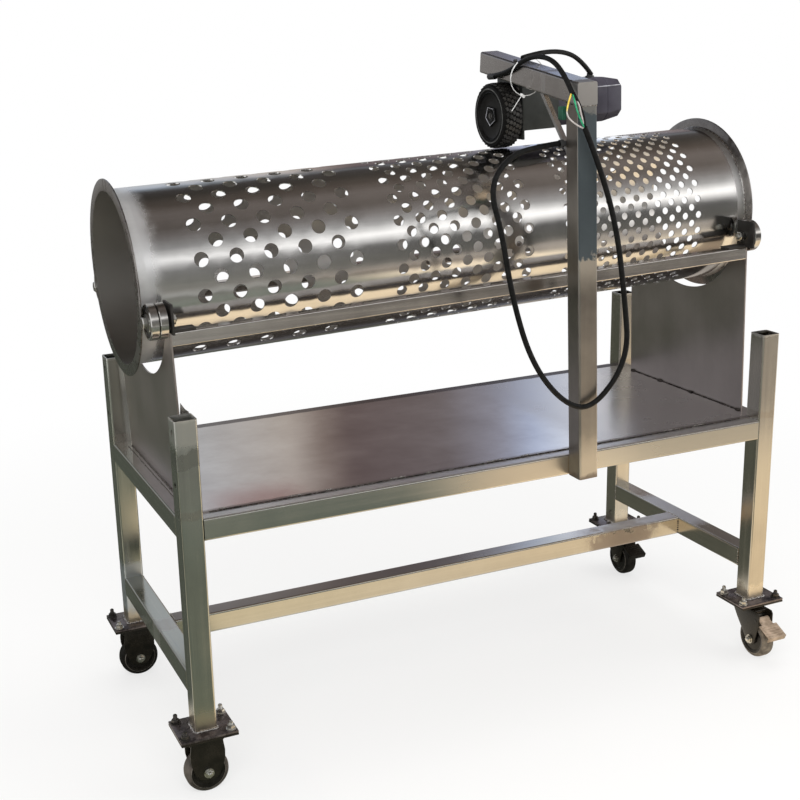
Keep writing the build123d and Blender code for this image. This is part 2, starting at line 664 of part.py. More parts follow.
# Swivel casters are drawn trailing along +X, then turned to trail towards the front.
yoke_top = FORK_TOP - RACE_HEIGHT - CONTACT_GAP
yoke_bottom = yoke_top - YOKE_SHEET
swivel_outline = [
    (-YOKE_BACK, yoke_top),
    (CHEEK_FRONT, yoke_top),
    (CHEEK_FRONT, CHEEK_FRONT_LOW),
    (TRAIL + CHEEK_NOSE, axle_z),
    (TRAIL - CHEEK_NOSE, axle_z),
]
swivel_plates = []
for row_name, row in (("front", -1), ("back", 1)):
    spot = Pos(LEG_X, row * LEG_Y, 0) * Rot(0, 0, -90)
    top_plate = Rot(0, 0, 90) * plate(CASTER_TOP, CASTER_SHEET)
    race_low = FORK_TOP - RACE_HEIGHT
    top_plate += Pos(0, 0, FORK_TOP - RACE_HEIGHT / 2) * Cone(RACE_FOOT, RACE_RADIUS, RACE_HEIGHT)
    pin_low = yoke_bottom - CONTACT_GAP - KINGPIN_HEAD_HEIGHT
    top_plate += Pos(0, 0, (race_low + pin_low) / 2) * Cylinder(KINGPIN_RADIUS, race_low - pin_low)
    top_plate += Pos(0, 0, pin_low + KINGPIN_HEAD_HEIGHT / 2) * Cylinder(KINGPIN_HEAD, KINGPIN_HEAD_HEIGHT)
    swivel_plates.append(spot * top_plate)

    fork = block((-YOKE_BACK, YOKE_FRONT), (-cheek_inner, cheek_inner), (yoke_bottom, yoke_top))
    for cheek in cheeks(swivel_outline, TRAIL):
        fork += cheek
    fork -= Pos(0, 0, yoke_top) * Cylinder(KINGPIN_RADIUS + RUNNING_GAP, 4 * YOKE_SHEET)
    fork += Pos(PEDAL_PIN_U, 0, PEDAL_PIN_Z) * Rot(90, 0, 0) * Cylinder(PEDAL_PIN, 2 * cheek_outer)
    nodes[f"right_{row_name}_caster_fork"] = spot * fork
    nodes[f"right_{row_name}_caster_axle"] = spot * Pos(TRAIL, 0, axle_z) * caster_axle()
    nodes[f"right_{row_name}_caster_wheel"] = spot * Pos(TRAIL, 0, axle_z) * caster_wheel()

    barrel = Rot(90, 0, 0) * Cylinder(PEDAL_BARREL, 2 * PEDAL_NECK)
    reach = (PEDAL_END - PEDAL_PIN_U) / math.cos(math.radians(PEDAL_SLOPE))
    wide_from = (PEDAL_START - PEDAL_PIN_U) / math.cos(math.radians(PEDAL_SLOPE))
    lever = block((0, wide_from), (-PEDAL_NECK, PEDAL_NECK), (0, PEDAL_SHEET))
    lever += block((wide_from, reach), (-PEDAL_HALF, PEDAL_HALF), (0, PEDAL_SHEET))
    lever += block((reach - PEDAL_SHEET, reach), (-PEDAL_HALF, PEDAL_HALF), (-PEDAL_LIP, 0))
    pedal = barrel + Rot(0, PEDAL_SLOPE, 0) * lever
    pedal -= Rot(90, 0, 0) * Cylinder(PEDAL_PIN + RUNNING_GAP, 4 * PEDAL_NECK)
    nodes[f"right_{row_name}_brake_pedal"] = spot * Pos(PEDAL_PIN_U, 0, PEDAL_PIN_Z) * pedal
nodes["swivel_caster_plates"] = Compound(swivel_plates)

# Clips for the cables: behind the post, beside the arm, on top of the arm, and a gland on the motor.
post_clip_low = arm_under(POST_BACK) - POST_CLIP_DROP
post_clip = block(
    (POST_X - POST_CLIP_OVERHANG, POST_X - POST_CLIP_OVERHANG + POST_CLIP_WIDTH),
    (POST_BACK, POST_BACK + CLIP_HEIGHT),
    (post_clip_low, post_clip_low + CLIP_HEIGHT),
)
arm_clip_low = arm_under(-ARM_CLIP_BACK) - ARM_CLIP_DROP
arm_clip = block(
    (POST_X - CLIP_WIDTH, POST_X),
    (-ARM_CLIP_BACK, CLIP_WIDTH - ARM_CLIP_BACK),
    (arm_clip_low, arm_clip_low + CLIP_HEIGHT),
)
top_clip_outline = arm_outline(-TOP_CLIP_BACK, CLIP_HEIGHT - TOP_CLIP_BACK, TUBE, TUBE + CLIP_WIDTH)
top_clip_left = POST_X + TOP_CLIP_INSET
top_clip = profile_yz(top_clip_outline, top_clip_left, top_clip_left + CLIP_WIDTH)
gland_low = GEARBOX_HEIGHT + MOTOR / 2
gland = Pos(GLAND_X, GLAND_Y, gland_low + GLAND_HEIGHT / 2) * Cylinder(GLAND_RADIUS, GLAND_HEIGHT)
nodes["cable_clips"] = Compound([UPPER * piece for piece in (post_clip, arm_clip, top_clip, gland)])
terminal_low = arm_under(POST_BACK) - TERMINAL_DROP
nodes["terminal_block"] = UPPER * block(
    (POST_X - TERMINAL_OVERHANG, POST_X - TERMINAL_OVERHANG + TERMINAL_WIDTH),
    (POST_BACK, POST_BACK + TERMINAL_DEPTH),
    (terminal_low, terminal_low + TERMINAL_HEIGHT),
)


def cord(points, radius):
    """A round cord along straight runs joined by tangent arcs."""
    places = [Vector(*point) for point in points]
    bends = []
    for before, corner, after in zip(places, places[1:], places[2:]):
        run_in = corner - before
        run_out = after - corner
        half_turn = math.radians(run_in.get_angle(run_out)) / 2
        bends.append(BEND_SHARE * min(run_in.length, run_out.length) / math.tan(half_turn))
    path = FilletPolyline(*places, radius=bends)
    print("cord", round(path.length), "mm long, tightest bend", round(min(bends), 1))
    start = Plane(origin=path @ 0, z_dir=path % 0)
    return sweep(start * Circle(radius), path=path)


# The supply cable: hangs in front of the post in one long loop and ends at the clip behind the post.
CABLE_POINTS = [
    (121, -315, 1132),
    (152, -315, 1068),
    (192, -315, 956),
    (214, -315, 824),
    (227, -315, 707),
    (153, -315, 621),
    (91, -313, 638),
    (25, -309, 720),
    (-12, -302, 840),
    (-30, -295, 960),
    (-50, -286, 1040),
    (-2, -274, 1090),
    (72, -261, 1100),
    (117, -255, 1102),
]
# The lead that arches beside the arm from its clip to the front of the post.
LEAD_POINTS = [
    (106.5, -9, 1212),
    (106.5, -70, 1217),
    (106.5, -150, 1250),
    (106.5, -225, 1249),
    (106.5, -275, 1218),
    (106.5, -299, 1187),
]
# The lead from the top of the arm to the motor.
MOTOR_LEAD_POINTS = [
    (136, -80, 1246),
    (190, -63, 1256),
    (262, -41, 1252),
    (309, -24, 1228),
    (331, -16, 1207),
]
# Three bare cores join the lead to the supply cable.
LEFT_CORE_POINTS = [
    (105, -297, 1190),
    (90, -311, 1175),
    (82, -317, 1154),
    (100, -317, 1138),
    (121, -315, 1129),
]
MIDDLE_CORE_POINTS = [
    (107, -297, 1190),
    (103, -312, 1172),
    (108, -317, 1150),
    (120, -315, 1132),
]
RIGHT_CORE_POINTS = [
    (108, -297, 1190),
    (112, -311, 1173),
    (113, -316, 1152),
    (122, -315, 1132),
]
core_routes = (LEFT_CORE_POINTS, MIDDLE_CORE_POINTS, RIGHT_CORE_POINTS)
nodes["supply_cable"] = cord(CABLE_POINTS, CABLE_RADIUS)
nodes["arm_lead"] = cord(LEAD_POINTS, LEAD_RADIUS)
nodes["motor_lead"] = cord(MOTOR_LEAD_POINTS, LEAD_RADIUS)
nodes["splice_cores"] = Compound([cord(route, WIRE_RADIUS) for route in core_routes])
cord_nodes += ["supply_cable", "arm_lead", "motor_lead", "splice_cores"]

# The frame of the finished assembly: the middle of its foot print, on the floor.
solid_nodes = [shape for name, shape in nodes.items() if name not in cord_nodes]
foot_print = Compound(solid_nodes).bounding_box()
CENTRE = Pos(-foot_print.center().X, -foot_print.center().Y, -foot_print.min.Z)
if __name__ == "__main__":
    print("moved by", CENTRE.position)
    for name, shape in nodes.items():
        export_step(CENTRE * shape, f"parts/{name}.step")
    print(len(nodes), "nodes")
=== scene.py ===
# %% [markdown]
# # A drum sorter on a wheeled stainless table
# The machine is a long perforated drum that lies on four bearing rollers and is turned by a rubber
# wheel on a gear motor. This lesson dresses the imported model: it keeps the straight tubes and
# plates as they are, gives every surface its finish, and models again what is round, punched,
# welded or soft.

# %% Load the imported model
import json
import math
import random

import bmesh
import bpy
from mathutils import Matrix, Vector


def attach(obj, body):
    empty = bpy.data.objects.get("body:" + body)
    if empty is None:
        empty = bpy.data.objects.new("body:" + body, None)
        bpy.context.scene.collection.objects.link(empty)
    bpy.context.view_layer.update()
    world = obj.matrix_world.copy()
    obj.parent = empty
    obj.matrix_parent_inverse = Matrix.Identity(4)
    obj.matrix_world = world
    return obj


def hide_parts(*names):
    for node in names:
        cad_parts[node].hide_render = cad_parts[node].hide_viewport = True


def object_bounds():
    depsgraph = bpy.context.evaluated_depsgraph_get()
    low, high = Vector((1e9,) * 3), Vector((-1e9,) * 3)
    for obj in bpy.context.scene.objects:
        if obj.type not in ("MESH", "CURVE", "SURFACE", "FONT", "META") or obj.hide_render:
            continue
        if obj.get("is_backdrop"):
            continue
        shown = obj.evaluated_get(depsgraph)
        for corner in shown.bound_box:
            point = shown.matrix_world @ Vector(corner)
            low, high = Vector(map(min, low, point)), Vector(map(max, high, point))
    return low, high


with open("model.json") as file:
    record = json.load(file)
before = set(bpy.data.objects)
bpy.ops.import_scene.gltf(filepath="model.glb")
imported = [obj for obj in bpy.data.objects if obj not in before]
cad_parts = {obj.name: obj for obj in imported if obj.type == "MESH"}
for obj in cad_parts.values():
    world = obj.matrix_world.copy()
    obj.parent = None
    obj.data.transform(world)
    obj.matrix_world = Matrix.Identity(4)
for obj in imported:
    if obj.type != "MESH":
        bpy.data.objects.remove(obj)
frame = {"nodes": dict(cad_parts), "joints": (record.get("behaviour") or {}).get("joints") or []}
cad_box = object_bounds()
nodes = frame["nodes"]
joints = {joint["name"]: joint for joint in frame["joints"]}
scene = bpy.context.scene
scene.view_settings.view_transform = "Standard"

# %% [markdown]
# ## The camera
# The photograph was taken from the low left end, a little above the drum. The place and the lens
# come from lining up the table's corners, so the camera is set by a matrix: turn, tilt, then a
# small roll.

# %% Camera
CAMERA_PLACE = (-1.1383, -2.1991, 1.3027)
CAMERA_TURN = math.radians(-22.707)
CAMERA_TILT = math.radians(90 - 15.882)
CAMERA_ROLL = math.radians(-1.813)

camera_data = bpy.data.cameras.new("camera")
camera_data.sensor_width = 36.0
camera_data.lens = 57.69
camera_data.shift_x = 0.06695
camera_data.shift_y = -0.0042
camera = bpy.data.objects.new("camera", camera_data)
scene.collection.objects.link(camera)
camera.matrix_world = (
    Matrix.Translation(CAMERA_PLACE)
    @ Matrix.Rotation(CAMERA_TURN, 4, "Z")
    @ Matrix.Rotation(CAMERA_TILT, 4, "X")
    @ Matrix.Rotation(CAMERA_ROLL, 4, "Z")
)
scene.camera = camera
print("camera at", [round(value, 2) for value in camera.location])

# %% [markdown]
# ## The cables
# A cable is one smooth line with a round section. The control points are the route of the cable in
# millimetres, measured from the middle of the table, and the spline rounds them by itself. The
# thickness is carried by the points' own radius, because that keeps the measured box of the curve
# tight.

# %% Cable routes
MM = 0.001
TABLE_MIDDLE_Y = 25.1339

SUPPLY_ROUTE = [
    (121, -315, 1132), (152, -315, 1068), (192, -315, 956), (214, -315, 824), (227, -315, 707),
    (153, -315, 621), (91, -313, 638), (25, -309, 720), (-12, -302, 840), (-30, -295, 960),
    (-50, -286, 1040), (-2, -274, 1090), (72, -261, 1100), (117, -255, 1102),
]
ARM_LEAD_ROUTE = [
    (106.5, -9, 1212), (106.5, -70, 1217), (106.5, -150, 1250), (106.5, -225, 1249),
    (106.5, -275, 1218), (106.5, -299, 1187),
]
MOTOR_LEAD_ROUTE = [
    (136, -80, 1246), (190, -63, 1256), (262, -41, 1252), (309, -24, 1228), (331, -16, 1207),
]
LEFT_CORE_ROUTE = [
    (105, -297, 1190), (90, -311, 1175), (82, -317, 1154), (100, -317, 1138), (121, -315, 1129),
]
MIDDLE_CORE_ROUTE = [(107, -297, 1190), (103, -312, 1172), (108, -317, 1150), (120, -315, 1132)]
RIGHT_CORE_ROUTE = [(108, -297, 1190), (112, -311, 1173), (113, -316, 1152), (122, -315, 1132)]
STRAND_ROUTE = [(108, -299, 1190), (113, -310, 1172), (119, -316, 1150), (122, -315, 1130)]


def in_metres(point):
    """A point of the route in the shared frame, in metres."""
    return Vector((point[0] * MM, (point[1] + TABLE_MIDDLE_Y) * MM, point[2] * MM))


def cable(name, route, diameter, node):
    """A round cable along a smooth spline, which stands for its plain solid."""
    curve = bpy.data.curves.new(name, "CURVE")
    curve.dimensions = "3D"
    curve.bevel_depth = 1.0
    curve.bevel_resolution = 5
    curve.use_fill_caps = True
    spline = curve.splines.new("NURBS")
    spline.points.add(len(route) - 1)
    for point, place in zip(spline.points, route):
        point.co = (*in_metres(place), 1.0)
        point.radius = diameter / 2
    spline.order_u = 3
    spline.use_endpoint_u = True
    spline.resolution_u = 10
    piece = bpy.data.objects.new(name, curve)
    scene.collection.objects.link(piece)
    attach(piece, "frame")
    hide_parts(node)
    return piece


cables = {
    "supply": cable("supply_flex", SUPPLY_ROUTE, 0.010, "supply_cable"),
    "arm": cable("arm_flex", ARM_LEAD_ROUTE, 0.009, "arm_lead"),
    "motor": cable("motor_flex", MOTOR_LEAD_ROUTE, 0.009, "motor_lead"),
    "left_core": cable("left_core_wire", LEFT_CORE_ROUTE, 0.003, "splice_cores"),
    "middle_core": cable("middle_core_wire", MIDDLE_CORE_ROUTE, 0.003, "splice_cores"),
    "right_core": cable("right_core_wire", RIGHT_CORE_ROUTE, 0.003, "splice_cores"),
    "strand": cable("splice_black_strand", STRAND_ROUTE, 0.005, "splice_cores"),
}
print("cables:", ", ".join(cables))

# %% [markdown]
# ## Node helpers for the finishes
# Every finish is a small network on a Principled shader. These helpers add a node, wire it and hand
# back its output, so that a finish below reads as a list of what one sees on the surface.

# %% Finish helpers
finish_names = []


class Finish:
    """A new material with a Principled shader and Object coordinates."""

    def __init__(self, name):
        finish_names.append(name)
        self.material = bpy.data.materials.new(name)
        self.material.use_nodes = True
        self.tree = self.material.node_tree
        self.shader = self.tree.nodes["Principled BSDF"]
        self.place = self.tree.nodes.new("ShaderNodeTexCoord").outputs["Object"]

    def link(self, output, socket):
        self.tree.links.new(output, socket)

    def set(self, **values):
        """Plain values on the shader's own sockets, spaces written as underscores."""
        for name, value in values.items():
            self.shader.inputs[name.replace("_", " ")].default_value = value
        return self

    def mapped(self, scale=(1, 1, 1), turn=(0, 0, 0), move=(0, 0, 0)):
        node = self.tree.nodes.new("ShaderNodeMapping")
        node.inputs["Scale"].default_value = scale
        node.inputs["Rotation"].default_value = turn
        node.inputs["Location"].default_value = move
        self.link(self.place, node.inputs["Vector"])
        return node.outputs["Vector"]

    def noise(self, scale, detail=3.0, rough=0.55, stretch=(1, 1, 1), turn=(0, 0, 0), move=(0, 0, 0)):
        node = self.tree.nodes.new("ShaderNodeTexNoise")
        node.inputs["Scale"].default_value = scale
        node.inputs["Detail"].default_value = detail
        node.inputs["Roughness"].default_value = rough
        self.link(self.mapped(stretch, turn, move), node.inputs["Vector"])
        return node.outputs["Fac"]

    def axis(self, letter):
        """One coordinate of the place on the piece, in metres."""
        node = self.tree.nodes.new("ShaderNodeSeparateXYZ")
        self.link(self.place, node.inputs[0])
        return node.outputs[letter]

    def remap(self, value, low, high, to_low=0.0, to_high=1.0):
        node = self.tree.nodes.new("ShaderNodeMapRange")
        node.interpolation_type = "SMOOTHSTEP"
        sockets = ("From Min", "From Max", "To Min", "To Max")
        for socket, number in zip(sockets, (low, high, to_low, to_high)):
            node.inputs[socket].default_value = number
        self.link(value, node.inputs["Value"])
        return node.outputs["Result"]

    def linear(self, value, low, high):
        """The share of the way from low to high, without easing."""
        share = self.remap(value, low, high)
        share.node.interpolation_type = "LINEAR"
        return share

    def math(self, kind, first, second):
        node = self.tree.nodes.new("ShaderNodeMath")
        node.operation = kind
        for socket, value in zip(node.inputs, (first, second)):
            if isinstance(value, (int, float)):
                socket.default_value = value
            else:
                self.link(value, socket)
        return node.outputs[0]

    def ramp(self, value, stops):
        """A colour for each value, given as pairs of place and colour."""
        node = self.tree.nodes.new("ShaderNodeValToRGB")
        points = node.color_ramp.elements
        while len(points) < len(stops):
            points.new(0.5)
        for point, (place, colour) in zip(points, stops):
            point.position = place
            point.color = (*colour, 1.0)
        self.link(value, node.inputs["Fac"])
        return node.outputs["Color"]

    def mix(self, factor, first, second, kind="MIX"):
        node = self.tree.nodes.new("ShaderNodeMix")
        node.data_type = "RGBA"
        node.blend_type = kind
        sockets = (node.inputs[0], node.inputs[6], node.inputs[7])
        for socket, value in zip(sockets, (factor, first, second)):
            if isinstance(value, (int, float)):
                socket.default_value = value
            elif isinstance(value, tuple):
                socket.default_value = (*value, 1.0)
            else:
                self.link(value, socket)
        return node.outputs[2]

    def colour(self, output):
        self.link(output, self.shader.inputs["Base Color"])
        return self

    def roughness(self, output):
        self.link(output, self.shader.inputs["Roughness"])
        return self

    def bump(self, height, strength, distance=0.001):
        node = self.tree.nodes.new("ShaderNodeBump")
        node.inputs["Strength"].default_value = strength
        node.inputs["Distance"].default_value = distance
        self.link(height, node.inputs["Height"])
        self.link(node.outputs["Normal"], self.shader.inputs["Normal"])
        return self


print("finish helpers ready")

# %% [markdown]
# ## Stainless steel
# Stainless tube is drawn, so its scratches run along it. The finish stretches a noise along that
# direction for the streaks, adds a slow mottle for handling stains, and lets the roughness follow
# both. The tubes also take a painted reflection tint along the table, greenish at the low end and
# straw at the high end. Welding heat, dirt, leftover film and painted reflections sit in ragged boxes
# of the piece, which a noise keeps from having straight edges, and they take some of the shine away.

# %% Stainless finish
STREAK = {"X": (1.2, 90, 90), "Y": (90, 1.2, 90), "Z": (90, 90, 1.2)}
# Painted reflection tint along the table: greenish at the low end, straw at the high end.
REFLECTION_CAST = [(0.0, (0.93, 0.95, 0.89)), (0.45, (0.96, 0.96, 0.94)), (1.0, (1.0, 0.95, 0.87))]
REFLECTION_CAST_REACH = 0.66
STRAIGHT_LIMIT = 0.002
PATCH_DULLNESS = 0.28
HAZE_METAL = 0.82
HAZE_WANDER = 0.03


def ragged_box(finish, limits, wander):
    """1 inside a box of the piece: limits are (axis, where it starts, where it is full), in metres.

    A limit that is full within two millimetres picks a face of the tube and keeps straight.
    """
    drift = finish.math("MULTIPLY", finish.math("SUBTRACT", finish.noise(45.0, 4.0), 0.5), wander)
    mask = 1.0
    for letter, begins, full in limits:
        place = finish.axis(letter)
        if abs(full - begins) > STRAIGHT_LIMIT:
            place = finish.math("ADD", place, drift)
        mask = finish.math("MULTIPLY", finish.remap(place, begins, full), mask)
    return mask


def stainless(
    name, along, low, high, rough=(0.12, 0.26), streak=0.5, reflection_cast=False, stains_and_reflections=(), relief=0.04, haze=(),
):
    """Drawn or rolled stainless between two tones, with patches of real stains and painted
    reflections; each patch is (limits, wander, colour, strength).

    A haze is a place, given by limits, that was ground with a disc and shines less like metal.
    """
    finish = Finish(name).set(Metallic=1.0)
    streaks = finish.noise(1.0, 4.0, 0.6, STREAK[along])
    mottle = finish.noise(9.0, 4.0, 0.6)
    drawn_share = finish.math("MULTIPLY", streaks, streak)
    level = finish.math("ADD", drawn_share, finish.math("MULTIPLY", mottle, 1 - streak))
    colour = finish.ramp(level, [(0.30, low), (0.70, high)])
    # The painted reflection tint is multiplied into the colour.
    if reflection_cast:
        tint = finish.ramp(finish.remap(finish.axis("X"), -REFLECTION_CAST_REACH, REFLECTION_CAST_REACH), REFLECTION_CAST)
        colour = finish.mix(1.0, colour, tint, "MULTIPLY")
    shine = finish.remap(level, 0.25, 0.75, *rough)
    # The patches mix in real stains and painted reflections, and each takes some shine away.
    for limits, wander, patch_colour, strength in stains_and_reflections:
        mask = finish.math("MULTIPLY", ragged_box(finish, limits, wander), strength)
        colour = finish.mix(mask, colour, patch_colour)
        shine = finish.math("ADD", finish.math("MULTIPLY", mask, PATCH_DULLNESS), shine)
    matte = 0.0
    for limits in haze:
        matte = finish.math("MAXIMUM", ragged_box(finish, limits, HAZE_WANDER), matte)
    if haze:
        finish.link(finish.remap(matte, 0.0, 1.0, 1.0, HAZE_METAL), finish.shader.inputs["Metallic"])
    finish.colour(colour)
    finish.roughness(shine)
    finish.bump(streaks, relief, 0.0006)
    return finish.material


print("stainless streaks along", ", ".join(STREAK))

# %% [markdown]
# The stains come from looking at the joints one by one: brown rings where a rail meets a post, a
# reddish film along the front of the tray, a dark end on the long stretcher, pale ground patches
# where the arm is welded on its post, and a torn rest of blue film on the front of the drive post.
# Other patches are painted reflections: on the front table rail, with a painted highlight on its
# top, on the top of the stretcher, low on the back left post and the right posts, and low on the
# front of the drive post.

# %% Tubes, sheets and drum steel
TUBE_LOW = (0.47, 0.47, 0.46)
TUBE_HIGH = (0.63, 0.62, 0.60)
HEAT_BROWN = (0.30, 0.22, 0.17)
GROUND_STEEL = (0.66, 0.64, 0.62)
FILM_BLUE = (0.21, 0.26, 0.30)
LEFT_END = ("X", -0.5, -0.55)
RIGHT_END = ("X", 0.5, 0.55)
FRONT_HALF = ("Y", 0.0, -0.1)
BAR_TOP = ("Z", 0.2262, 0.2276)
RAIL_FRONT = ("Y", -0.2370, -0.2376)
POST_FRONT = ("Y", -0.2755, -0.2765)
DRUM_LEFT_END = ("X", -0.588, -0.626)


def band(letter, centre, half):
    """Limits of a band across a piece."""
    return [(letter, centre - 1.6 * half, centre - half), (letter, centre + 1.6 * half, centre + half)]


# A heat-brown band where the rail meets. The bluish zone low on the back left post and the warm pale
# zone low on the right posts are painted reflections. The rest make the left posts tan low down, the
# front left post paler high up and dark in one band, and every post paler at its top.
post_marks_and_reflections = [
    (band("Z", 0.530, 0.006), 0.03, HEAT_BROWN, 0.2),
    ([LEFT_END, ("Z", 0.180, 0.140)], 0.03, (0.72, 0.62, 0.48), 0.7),
    ([LEFT_END, ("Y", 0.15, 0.20), *band("Z", 0.205, 0.040)], 0.03, (0.80, 0.86, 0.95), 0.75),
    ([LEFT_END, FRONT_HALF, ("Z", 0.640, 0.660)], 0.03, (0.84, 0.83, 0.80), 0.65),
    ([RIGHT_END, ("Z", 0.165, 0.140)], 0.05, (0.94, 0.86, 0.74), 0.75),
    ([("Z", 0.690, 0.696)], 0.01, (0.85, 0.84, 0.82), 0.6),
    ([LEFT_END, *band("Z", 0.628, 0.010), FRONT_HALF], 0.04, (0.22, 0.22, 0.20), 0.45),
]
# Painted light on the front table rail: a white painted highlight along its top, a cream painted
# reflection on its front near the middle, and a grey painted reflection on the front towards the right.
rail_painted_reflections = [
    ([("Y", -0.200, -0.206), ("Z", 0.5186, 0.5196)], 0.001, (0.96, 0.95, 0.96), 0.8),
    ([RAIL_FRONT, ("X", -0.16, 0.00), ("X", 0.24, 0.14)], 0.03, (0.99, 0.88, 0.74), 0.65),
    ([RAIL_FRONT, ("X", 0.22, 0.40)], 0.03, (0.50, 0.50, 0.48), 0.5),
]
# A brown patch on the front near the right end. On the top, a painted dark reflection at the left and a
# painted white-blue reflection at the right.
stretcher_marks_and_reflections = [
    ([("X", 0.33, 0.38), ("X", 0.53, 0.50), ("Z", 0.226, 0.222)], 0.10, (0.34, 0.27, 0.23), 0.7),
    ([BAR_TOP, ("X", 0.20, -0.10)], 0.001, (0.26, 0.21, 0.21), 0.7),
    ([BAR_TOP, ("X", 0.25, 0.40)], 0.001, (0.96, 0.96, 1.0), 0.8),
]
tray_stains = [
    ([("Y", -0.08, -0.20), ("X", -0.60, -0.48), ("X", -0.34, -0.44)], 0.04, (0.50, 0.26, 0.24), 0.6),
    ([("X", 0.16, 0.24), ("X", 0.62, 0.55)], 0.03, (0.60, 0.57, 0.56), 0.5),
    ([("Y", -0.198, -0.205)], 0.012, (0.20, 0.16, 0.15), 0.55),
    ([("Y", 0.262, 0.266)], 0.006, (0.12, 0.10, 0.10), 0.8),
]
arm_stains = [
    ([("Y", -0.255, -0.262)], 0.02, GROUND_STEEL, 0.7),
    (band("Y", -0.165, 0.006), 0.01, GROUND_STEEL, 0.35),
]
# On the front of the drive post: beige below the torn blue film, the film itself, grey above it, and a
# cream painted reflection low down. The left face and the foot are darker brown.
drive_marks_and_reflection = [
    ([POST_FRONT, ("Z", 0.82, 0.90)], 0.03, (0.70, 0.65, 0.58), 0.85),
    ([POST_FRONT, ("Z", 0.899, 0.905)], 0.060, FILM_BLUE, 0.95),
    ([POST_FRONT, ("Z", 1.146, 1.152)], 0.060, (0.60, 0.60, 0.60), 0.95),
    ([POST_FRONT, ("Z", 0.590, 0.510)], 0.03, (0.98, 0.88, 0.74), 0.8),
    ([("X", 0.118, 0.112)], 0.002, (0.23, 0.185, 0.16), 0.75),
    ([("Z", 0.494, 0.484)], 0.02, (0.24, 0.18, 0.14), 0.6),
]
cross_stains = [
    ([RIGHT_END, BAR_TOP, *band("Y", 0.05, 0.075)], 0.02, (0.96, 0.97, 1.0), 0.9),
    ([LEFT_END, *band("Y", 0.0, 0.02)], 0.03, (0.80, 0.78, 0.76), 0.5),
]
drum_stains = [
    ([DRUM_LEFT_END], 0.02, (0.82, 0.82, 0.83), 0.65),
    ([("X", 0.565, 0.605)], 0.02, (0.85, 0.85, 0.87), 0.25),
]
DRUM_HAZE = [[DRUM_LEFT_END]]
tube_x = stainless("tube_along_x", "X", TUBE_LOW, TUBE_HIGH, reflection_cast=True, stains_and_reflections=rail_painted_reflections)
tube_y = stainless("tube_along_y", "Y", TUBE_LOW, TUBE_HIGH, reflection_cast=True)
cross_tube = stainless("cross_bar_tube", "Y", TUBE_LOW, TUBE_HIGH, reflection_cast=True, stains_and_reflections=cross_stains)
stretcher_tube = stainless(
    "stretcher_tube", "X", TUBE_LOW, TUBE_HIGH, reflection_cast=True, stains_and_reflections=stretcher_marks_and_reflections,
)
post_tube = stainless("post_tube", "Z", TUBE_LOW, TUBE_HIGH, reflection_cast=True, stains_and_reflections=post_marks_and_reflections)
drive_tube = stainless(
    "drive_post_tube", "Z", (0.31, 0.285, 0.26), (0.48, 0.44, 0.40), (0.30, 0.42), 0.2,
    stains_and_reflections=drive_marks_and_reflection,
)
arm_tube = stainless(
    "drive_arm_tube", "Y", (0.46, 0.43, 0.42), (0.60, 0.57, 0.55), (0.2, 0.32), 0.3, stains_and_reflections=arm_stains,
)
brace_steel = stainless(
    "knee_brace_steel", "Z", (0.44, 0.43, 0.43), (0.72, 0.71, 0.71), (0.22, 0.36), 0.3,
)
roller_rail = stainless("roller_rail_tube", "X", (0.57, 0.53, 0.51), (0.80, 0.77, 0.74))
sheet = stainless(
    "tray_sheet_finish", "X", (0.52, 0.49, 0.48), (0.70, 0.68, 0.67), (0.08, 0.16), 0.1,
    stains_and_reflections=tray_stains, relief=0.006,
)
panel = stainless("end_panel_sheet", "Z", (0.50, 0.45, 0.43), (0.62, 0.56, 0.54), (0.28, 0.40), 0.12)
ring_steel = stainless("drum_ring_steel", "X", (0.23, 0.21, 0.20), (0.42, 0.395, 0.375), (0.20, 0.36))
drum_steel = stainless(
    "drum_sheet_steel", "X", (0.60, 0.59, 0.58), (0.80, 0.79, 0.78), (0.11, 0.20), 0.3,
    stains_and_reflections=drum_stains, haze=DRUM_HAZE,
)
inner_stains = [([("X", -0.50, -0.56)], 0.04, (0.34, 0.32, 0.30), 0.8)]
inner_steel = stainless(
    "drum_inside_steel", "X", (0.70, 0.68, 0.66), (0.86, 0.84, 0.82), (0.24, 0.40), 0.3,
    stains_and_reflections=inner_stains,
)
collar_steel = stainless(
    "drum_collar_steel", "X", (0.68, 0.68, 0.68), (0.86, 0.86, 0.86), (0.36, 0.5), 0.3, haze=DRUM_HAZE,
)
print("stainless finishes:", len(finish_names))

# %% [markdown]
# ## Bearings, brackets, paint, rubber and plastics
# These are plain workshop finishes. Each one still varies: chrome has faint turning marks, black
# steel has dust in its pores, zinc is patchy, and moulded rubber is matt with a worn bloom.

# %% Other finishes


def mottled(name, low, high, scale, rough, metal=0.0, grain=200.0, relief=0.1, gloss=0.5):
    """A finish between two tones with a fine grain in its relief; dull rubber has little gloss."""
    finish = Finish(name).set(Metallic=metal, Specular_IOR_Level=gloss)
    patches = finish.noise(scale, 5.0, 0.6)
    fine = finish.noise(grain, 2.0)
    finish.colour(finish.ramp(patches, [(0.32, low), (0.68, high)]))
    finish.roughness(finish.remap(patches, 0.3, 0.7, *rough))
    finish.bump(fine, relief, 0.0005)
    return finish.material


